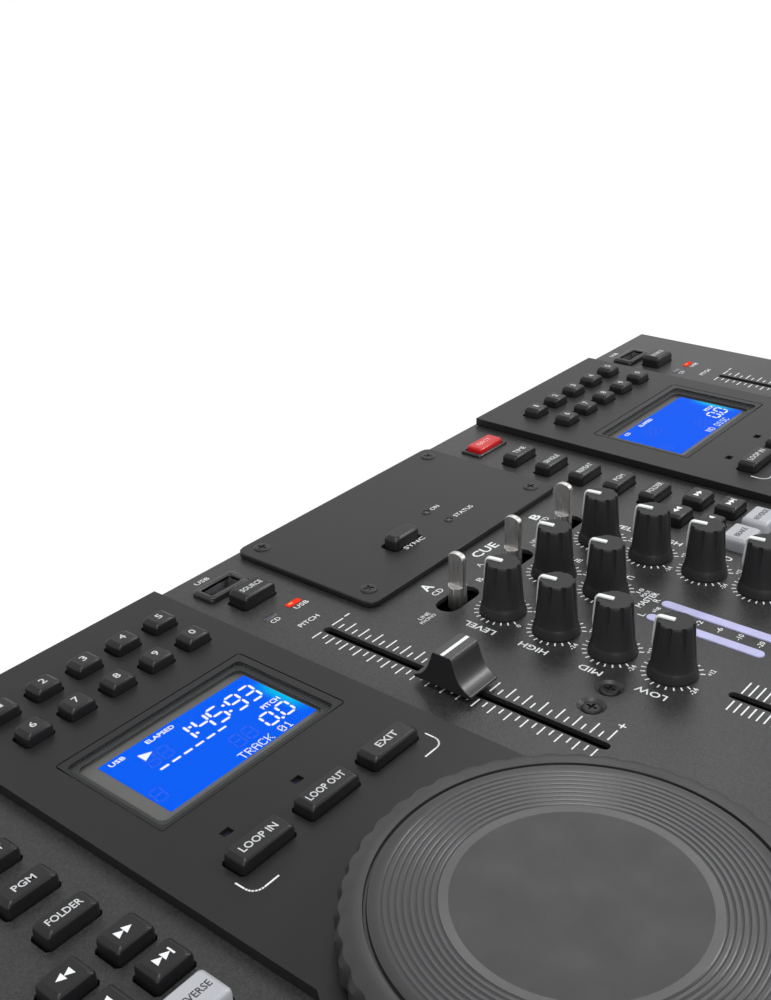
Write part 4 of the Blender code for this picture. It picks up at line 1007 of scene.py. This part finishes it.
bm = bmesh.new()
for x in (-0.0057, 0.0036):
    add_loft(bm, flat_rings(x, 0.14695, (
        (-0.0009, 0.00178, 0.01845, 0.00172), (0.00015, 0.00178, 0.01845, 0.00172),
        (0.0003, 0.00166, 0.01833, 0.00160)), 8))
add_piece("level_bars", bm, bar_lilac, smooth=40)

rings = bmesh.new()
for name, x, back, lens in (("on", 0.0072, 0.0354, lens_rust), ("status", 0.0073, 0.0451, lens_dark)):
    bm = bmesh.new()
    add_turned(bm, x, back_edge - back, [(0.0012, 0.0810), (0.0012, 0.0820), (0.0008, 0.0823), (0.0003, 0.0824)], 24)
    add_piece(f"receiver_lamp_{name}", bm, lens, smooth=50)
    add_turned(rings, x, back_edge - back, [(0.0017, 0.0819), (0.0017, 0.08235), (0.0015, 0.0825),
                                            (0.0013, 0.08235), (0.0013, 0.0819)], 32, True)
add_piece("receiver_lamp_rings", rings, rim_black, smooth=50)


# Tick marks
# White lines printed round the knobs and beside the fader slots. Each set is one node tree that
# repeats a thin bar on every vertex of a base mesh.
def new_tree(name, labels):
    """A node tree with its inputs, and the sockets that give them."""
    tree = bpy.data.node_groups.new(name, "GeometryNodeTree")
    kinds = {"Geometry": "NodeSocketGeometry", "Count": "NodeSocketInt", "Material": "NodeSocketMaterial"}
    for label in ("Geometry", "Count", *labels, "Width", "Height", "Material"):
        tree.interface.new_socket(label, in_out="INPUT", socket_type=kinds.get(label, "NodeSocketFloat"))
    tree.interface.new_socket("Geometry", in_out="OUTPUT", socket_type="NodeSocketGeometry")
    return tree, tree.nodes.new("NodeGroupInput").outputs


def repeat_bars(tree, given, position, length, turned):
    """Put the bars at counted points, then the whole set on every vertex, and make it real."""
    points = wire(tree, "GeometryNodePoints", {"Count": given["Count"]})
    placed = wire(tree, "GeometryNodeSetPosition", {"Geometry": points, "Position": position})
    size = wire(tree, "ShaderNodeCombineXYZ", {0: length, 1: given["Width"], 2: given["Height"]})
    bar = wire(tree, "GeometryNodeMeshCube", {"Size": size})
    bars = wire(tree, "GeometryNodeInstanceOnPoints", {"Points": placed, "Instance": bar, **turned})
    joined = wire(tree, "GeometryNodeGeometryToInstance", {0: bars})
    sets = wire(tree, "GeometryNodeInstanceOnPoints", {"Points": given["Geometry"], "Instance": joined})
    real = wire(tree, "GeometryNodeRealizeInstances", {0: sets})
    painted = wire(tree, "GeometryNodeSetMaterial", {"Geometry": real, "Material": given["Material"]})
    tree.links.new(painted, tree.nodes.new("NodeGroupOutput").inputs["Geometry"])
    return tree


def make_ring_tree():
    tree, given = new_tree("tick_ring", ("Start", "Step", "Inner Radius", "Outer Radius"))
    run = maths(tree, "MULTIPLY", wire(tree, "GeometryNodeInputIndex", {}), given["Step"])
    angle = maths(tree, "ADD", run, given["Start"])
    middle = maths(tree, "DIVIDE", maths(tree, "ADD", given["Inner Radius"], given["Outer Radius"]), 2)
    position = wire(tree, "ShaderNodeCombineXYZ", {
        0: maths(tree, "MULTIPLY", maths(tree, "COSINE", angle), middle),
        1: maths(tree, "MULTIPLY", maths(tree, "SINE", angle), middle)})
    length = maths(tree, "SUBTRACT", given["Outer Radius"], given["Inner Radius"])
    turn = wire(tree, "FunctionNodeEulerToRotation", {0: wire(tree, "ShaderNodeCombineXYZ", {2: angle})})
    return repeat_bars(tree, given, position, length, {"Rotation": turn})


def make_row_tree():
    tree, given = new_tree("tick_row", ("Step", "Length"))
    run = maths(tree, "MULTIPLY", wire(tree, "GeometryNodeInputIndex", {}), given["Step"])
    position = wire(tree, "ShaderNodeCombineXYZ", {1: maths(tree, "MULTIPLY", run, -1)})
    return repeat_bars(tree, given, position, given["Length"], {})


def grow(name, places, tree, values):
    """Run a node tree on a mesh of single vertices and keep the result as a piece."""
    base = bpy.data.meshes.new(name)
    base.from_pydata(places, [], [])
    holder = bpy.data.objects.new(name + "_base", base)
    bpy.context.scene.collection.objects.link(holder)
    modifier = holder.modifiers.new("repeat", "NODES")
    modifier.node_group = tree
    for item in tree.interface.items_tree:
        if item.item_type == "SOCKET" and item.in_out == "INPUT" and item.name in values:
            modifier[item.identifier] = values[item.name]
    bpy.context.view_layer.update()
    made = bpy.data.meshes.new_from_object(holder.evaluated_get(bpy.context.evaluated_depsgraph_get()))
    bpy.data.objects.remove(holder)
    bpy.data.meshes.remove(base)
    add_piece(name, made, values["Material"])


row_tree = make_row_tree()
line = {"Width": 0.00042, "Height": 0.00009, "Material": print_white}
grow("knob_ticks", [(middle.x, middle.y, plate_top) for middle in knob_places.values()], make_ring_tree(), {
    "Count": 21, "Start": math.radians(-60), "Step": math.radians(15), "Inner Radius": 0.0074,
    "Outer Radius": 0.0088, **line})
for name, x, back, count, length in (
        ("pitch_ticks_long_right", 0.0658, 0.0559, 19, 0.0050), ("pitch_ticks_long_left", 0.0566, 0.0559, 19, 0.0040),
        ("pitch_ticks_short_right", 0.0646, 0.05852, 18, 0.0026),
        ("pitch_ticks_short_left", 0.0574, 0.05852, 18, 0.0024)):
    grow(name, [(deck_x + x, back_edge - back, plate_top) for deck_x in deck_places.values()], row_tree,
         {"Count": count, "Step": 0.00524, "Length": length, **line})
for name, x, length in (("channel_ticks_left", -0.00485, 0.0049), ("channel_ticks_right", 0.00490, 0.0062)):
    grow(name, [(slot_x + x, back_edge - 0.1683, plate_top) for slot_x in (-0.0280, 0.0280)], row_tree,
         {"Count": 26, "Step": 0.0021, "Length": length, **line})


# Rear and front sockets
# Turned metal collars round the eight phono sockets and the two jacks, with coloured insulators,
# black discs that paint the shade in the bores, and printed words beside them.
insulators = {"white": make_finish("socket_white", (0.62, 0.62, 0.60), 0.4, 0, 0.0004, 0.03, 0.03),
              "red": make_finish("socket_red", (0.45, 0.02, 0.015), 0.4, 0, 0.0004, 0.03, 0.03)}
wall_turns = {"rear": Matrix.Rotation(-math.pi / 2, 4, "X"), "front": Matrix.Rotation(math.pi / 2, 4, "X")}
rear_face, front_face, socket_z = 0.1270, 0.1307, 0.0560
letter_wide, letter_tall = 0.0017, 0.0022
collar = [(0.0032, -0.0002), (0.0056, -0.0002), (0.0056, 0.0006), (0.0054, 0.0008), (0.0045, 0.0008),
          (0.0045, 0.0051), (0.0043, 0.0053), (0.0034, 0.0053), (0.0032, 0.0050)]
jack_nut = [(0.0036, -0.0004), (0.0066, -0.0004), (0.0066, 0.0010), (0.0063, 0.0013), (0.0042, 0.0013),
            (0.0036, 0.0009)]


def stand(bm, wall, name, paint):
    """Turn a flat lying shape to face out of a wall and add it."""
    bmesh.ops.transform(bm, matrix=wall_turns[wall], verts=bm.verts)
    add_piece(name, bm, paint)


collars, holes = bmesh.new(), bmesh.new()
tints = {"white": bmesh.new(), "red": bmesh.new()}
for index in range(8):
    x = -0.1500 + index * 0.0160
    add_turned(collars, x, -socket_z, [(radius, rear_face + rise) for radius, rise in collar], 40, True)
    add_turned(tints["red" if index % 2 else "white"], x, -socket_z,
               [(0.0033, rear_face + 0.0048), (0.0033, rear_face + 0.0051)], 32)
    # A black disc on each insulator paints the shade inside the socket's bore.
    add_turned(holes, x, -socket_z, [(0.0015, rear_face + 0.0050), (0.0015, rear_face + 0.00515)], 24)
stand(collars, "rear", "phono_collars", nickel)
for tint, shape in tints.items():
    stand(shape, "rear", f"phono_insulators_{tint}", insulators[tint])
stand(holes, "rear", "phono_bores_painted_shade", rim_black)
nuts = bmesh.new()
for x in (-0.0160, 0.0160):
    add_turned(nuts, x, socket_z, [(radius, front_face + rise) for radius, rise in jack_nut], 40, True)
stand(nuts, "front", "jack_nuts", nickel)
letters = bmesh.new()
for text, x, z in (("OUT", -0.1420, 0.0670), ("REC", -0.1100, 0.0670), ("LINE 1", -0.0780, 0.0670),
                   ("LINE 2", -0.0460, 0.0670), ("AC IN", 0.1800, 0.0455), ("POWER", 0.1450, 0.0455)):
    add_word(letters, text, x, -z, rear_face, letter_wide * len(text), letter_tall, 180, 0.01)
stand(letters, "rear", "rear_words", print_white)
letters = bmesh.new()
for text, x in (("PHONES", -0.0160), ("MIC", 0.0160)):
    add_word(letters, text, x, socket_z + 0.0115, front_face, letter_wide * len(text), letter_tall, 0, 0.01)
stand(letters, "front", "front_words", print_white)


# Printed words
# White screen print on the cover, the deck panels, the receiver plate and the keys.
cover_words = [
    ("A", -0.0308, 0.0650, 0.0039, 0.0038, 0, 0.02), ("CD", -0.0309, 0.0695, 0.0046, 0.0022, 0, 0),
    ("LINE", -0.0447, 0.0750, 0.0048, 0.0014, 0, 0), ("PHONO", -0.0452, 0.0769, 0.0068, 0.0014, 0, 0),
    ("CUE", 0.0000, 0.0654, 0.0115, 0.0036, -4, 0.015), ("A", -0.0093, 0.0700, 0.0022, 0.0020, 0, 0),
    ("B", -0.0169, 0.0756, 0.0022, 0.0020, 0, 0),
    ("B", 0.0294, 0.0656, 0.0037, 0.0034, 0, 0.02), ("CD", 0.0294, 0.0693, 0.0044, 0.0022, 0, 0),
    ("LINE", 0.0153, 0.0750, 0.0048, 0.0014, 0, 0), ("PHONO", 0.0148, 0.0769, 0.0068, 0.0014, 0, 0),
    ("MASTER", 0.0026, 0.1240, 0.0105, 0.0022, -4, 0.01), ("MAX", 0.0055, 0.1219, 0.0044, 0.0015, -4, 0),
    ("R", 0.0038, 0.1265, 0.0018, 0.0020, 0, 0), ("L", -0.0058, 0.1268, 0.0016, 0.0020, 0, 0),
    ("sig", -0.0010, 0.1290, 0.0034, 0.0017, 0, 0),
    ("-2", -0.0005, 0.1427, 0.0028, 0.0017, 0, 0), ("-6", -0.0006, 0.1491, 0.0028, 0.0017, 0, 0),
    ("-10", -0.0007, 0.1556, 0.0034, 0.0017, 0, 0), ("-20", -0.0008, 0.1621, 0.0034, 0.0017, 0, 0),
    ("dB", -0.0008, 0.1358, 0.0030, 0.0018, 0, 0),
    ("CROSSFADER", 0.0000, 0.2352, 0.0230, 0.0020, 0, 0.01),
    ("A", -0.0350, 0.2460, 0.0030, 0.0030, 0, 0.02), ("B", 0.0350, 0.2460, 0.0030, 0.0030, 0, 0.02),
]
for row, (text, wide) in enumerate((("LEVEL", 0.0108), ("HIGH", 0.0093), ("MID", 0.0072), ("LOW", 0.0092))):
    for x, turn in ((-0.0402, 90), (0.0400, -90)):
        cover_words.append((text, x, 0.0922 + row * 0.0189, wide, 0.0025, turn, 0.01))
for text, back in (("CUE", 0.0922), ("MIC", 0.1111)):
    cover_words.append((text, 0.0115, back, 0.0062, 0.0022, -90, 0.01))
for node, middle in knob_places.items():
    low_text, low_wide, high_text = ("0", 0.0012, "10") if "level" in node else ("-24", 0.0032, "+12")
    back = back_edge - middle.y
    cover_words.append((low_text, middle.x - 0.0047, back + 0.0088, low_wide, 0.0016, 0, 0.01))
    cover_words.append((high_text, middle.x + 0.0061, back + 0.0086, 0.0030, 0.0016, 0, 0.01))
for deck_x in deck_places.values():
    cover_words += [(text, deck_x + x, back, wide, tall, 0, bold) for text, x, back, wide, tall, bold in (
        ("USB", 0.0669, 0.0400, 0.0056, 0.0018, 0), ("CD", 0.0555, 0.0400, 0.0036, 0.0018, 0),
        ("PITCH", 0.0612, 0.0484, 0.0082, 0.0019, 0), ("+", 0.0707, 0.1503, 0.0022, 0.0022, 0),
        ("-", 0.0705, 0.0556, 0.0022, 0.0005, 0), ("USB", 0.0587, 0.0041, 0.0056, 0.0018, 0),
        ("CUE", -0.0660, 0.2084, 0.0070, 0.0022, 0.01), ("PLAY/PAUSE", -0.0660, 0.2514, 0.0170, 0.0020, 0.01),
    )]
letters = bmesh.new()
for text, x, back, wide, tall, turn, bold in cover_words:
    add_word(letters, text, x, back_edge - back, plate_top, wide, tall, turn, bold)
add_piece("cover_words", letters, print_white)
letters = bmesh.new()
for text, x, back, wide in (("ON", 0.0118, 0.0354, 0.0040), ("STATUS", 0.0155, 0.0451, 0.0100),
                            ("SYNC", -0.0128, 0.0460, 0.0100)):
    add_word(letters, text, x, back_edge - back, receiver_top, wide, 0.0018)
add_piece("receiver_words", letters, print_white)

key_print = make_finish("key_print", (0.50, 0.51, 0.52), 0.55, 0, 0.0003, 0.05, 0.03, 0.02)
print_dark = make_finish("dark_print", (0.02, 0.02, 0.022), 0.5, 0, 0.0003, 0.02, 0.03)
print_pink = make_finish("pale_print", (0.75, 0.35, 0.33), 0.5, 0, 0.0003, 0.02, 0.03)


def legend(body, kind, marks, top, paint=key_print):
    """Words on one body's keys. Each is text, x from the deck, distance from the back, width, height."""
    letters = bmesh.new()
    for text, x, back, wide, tall in marks:
        add_word(letters, text, deck_x + x, back_edge - back, top, wide, tall, bold=0.012)
    add_piece(f"{body}_{kind}", letters, paint, body)


def add_symbol(bm, kind, x, back, size):
    """Transport marks made of triangles and bars: forward and back search, skip, play and pause."""
    y, top = back_edge - back, plate_top + 0.0040
    low, high = top - print_sink, top + print_rise
    way = -1 if "back" in kind else 1
    triangles = 1 if kind == "play" else 2
    for step in range(triangles):
        tip = x + way * (size * (step + 1 - triangles / 2))
        base = tip - way * size
        ring = [(base, y - size * 0.55), (tip, y), (base, y + size * 0.55)][::way]
        add_loft(bm, [(low, ring), (high, ring)])
    bars = [x + way * size * (triangles / 2 + 0.12)] if "skip" in kind else []
    if kind == "play":
        bars = [x + size * 0.95, x + size * 1.45]
    for bar_x in bars:
        add_slab(bm, bar_x, y, size * 0.11, size * 0.55, low, high)


def add_bracket(bm, x, way):
    """A thin line that comes forward from a loop lamp and turns towards the key's middle."""
    half, corner = 0.00022, 0.0030
    down = back_edge - 0.1198
    path = [(0, back_edge - 0.1139)]
    for step in range(7):
        turn = math.pi / 12 * step
        path.append((corner * math.cos(turn) - corner, down + corner - corner * math.sin(turn)))
    path.append((-0.0075, down))
    for first, second in zip(path, path[1:]):
        start, end = Vector(first), Vector(second)
        run = (end - start).normalized() * half
        over = Vector((-run.y, run.x))
        corners = (start - over - run / 2, end - over + run / 2, end + over + run / 2, start + over - run / 2)
        ring = [(x + way * spot.x, spot.y) for spot in corners][::way]
        add_loft(bm, [(panel_top - print_sink, ring), (panel_top + print_rise, ring)])


for side, deck_x in deck_places.items():
    marks = [(mark, 0.0292 - column * number_pitch, 0.0181 + row * number_row, 0.0010 if mark == "1" else 0.0018,
              0.0025) for row, text in enumerate(("54321", "09876")) for column, mark in enumerate(text)]
    legend(f"number_keys_{side}", "figures", marks, panel_top + 0.0033)
    legend(f"loop_keys_{side}", "words", [
        ("LOOP IN", -0.0220, 0.1104, 0.0112, 0.0022), ("LOOP OUT", 0.0007, 0.1104, 0.0126, 0.0022),
        ("EXIT", 0.0234, 0.1104, 0.0074, 0.0022)], panel_top + 0.0035)
    names = (("TIME", 0.0066), ("SINGLE", 0.0086), ("REPEAT", 0.0090), ("PGM", 0.0058), ("FOLDER", 0.0092))
    legend(f"function_keys_{side}", "words", [(text, -0.0620, 0.0339 + row * function_pitch, wide, 0.0021)
                                              for row, (text, wide) in enumerate(names)], plate_top + 0.0040)
    legend(f"eject_key_{side}", "word", [("EJECT", -0.0607, 0.0168, 0.0080, 0.0024)], plate_top + 0.0027, print_pink)
    legend(f"source_key_{side}", "word", [("SOURCE", 0.0606, 0.0250, 0.0086, 0.0021)], plate_top + 0.0045)
    legend(f"search_keys_{side}", "words", [
        ("REVERSE", -0.0604, 0.1303, 0.0086, 0.0019), ("BRAKE", -0.0759, 0.1303, 0.0070, 0.0019)],
           plate_top + 0.0040, print_dark)
    legend(f"cue_key_{side}", "word", [("CUE", -0.0660, 0.2180, 0.0075, 0.0030)], plate_top + 0.0040)
    symbols = bmesh.new()
    for kind, x, back in (("forward", -0.0577, 0.1058), ("forward_skip", -0.0577, 0.1179),
                          ("back", -0.0732, 0.1058), ("back_skip", -0.0732, 0.1179)):
        add_symbol(symbols, kind, deck_x + x, back, 0.0021)
    add_piece(f"search_keys_{side}_marks", symbols, print_white, f"search_keys_{side}")
    symbols = bmesh.new()
    add_symbol(symbols, "play", deck_x - 0.0670, 0.2400, 0.0030)
    add_piece(f"play_key_{side}_mark", symbols, print_white, f"play_key_{side}")
    brackets = bmesh.new()
    for x, way in ((0.0345, 1), (-0.0331, -1)):
        add_bracket(brackets, deck_x + x, way)
    add_piece(f"loop_brackets_{side}", brackets, print_white)
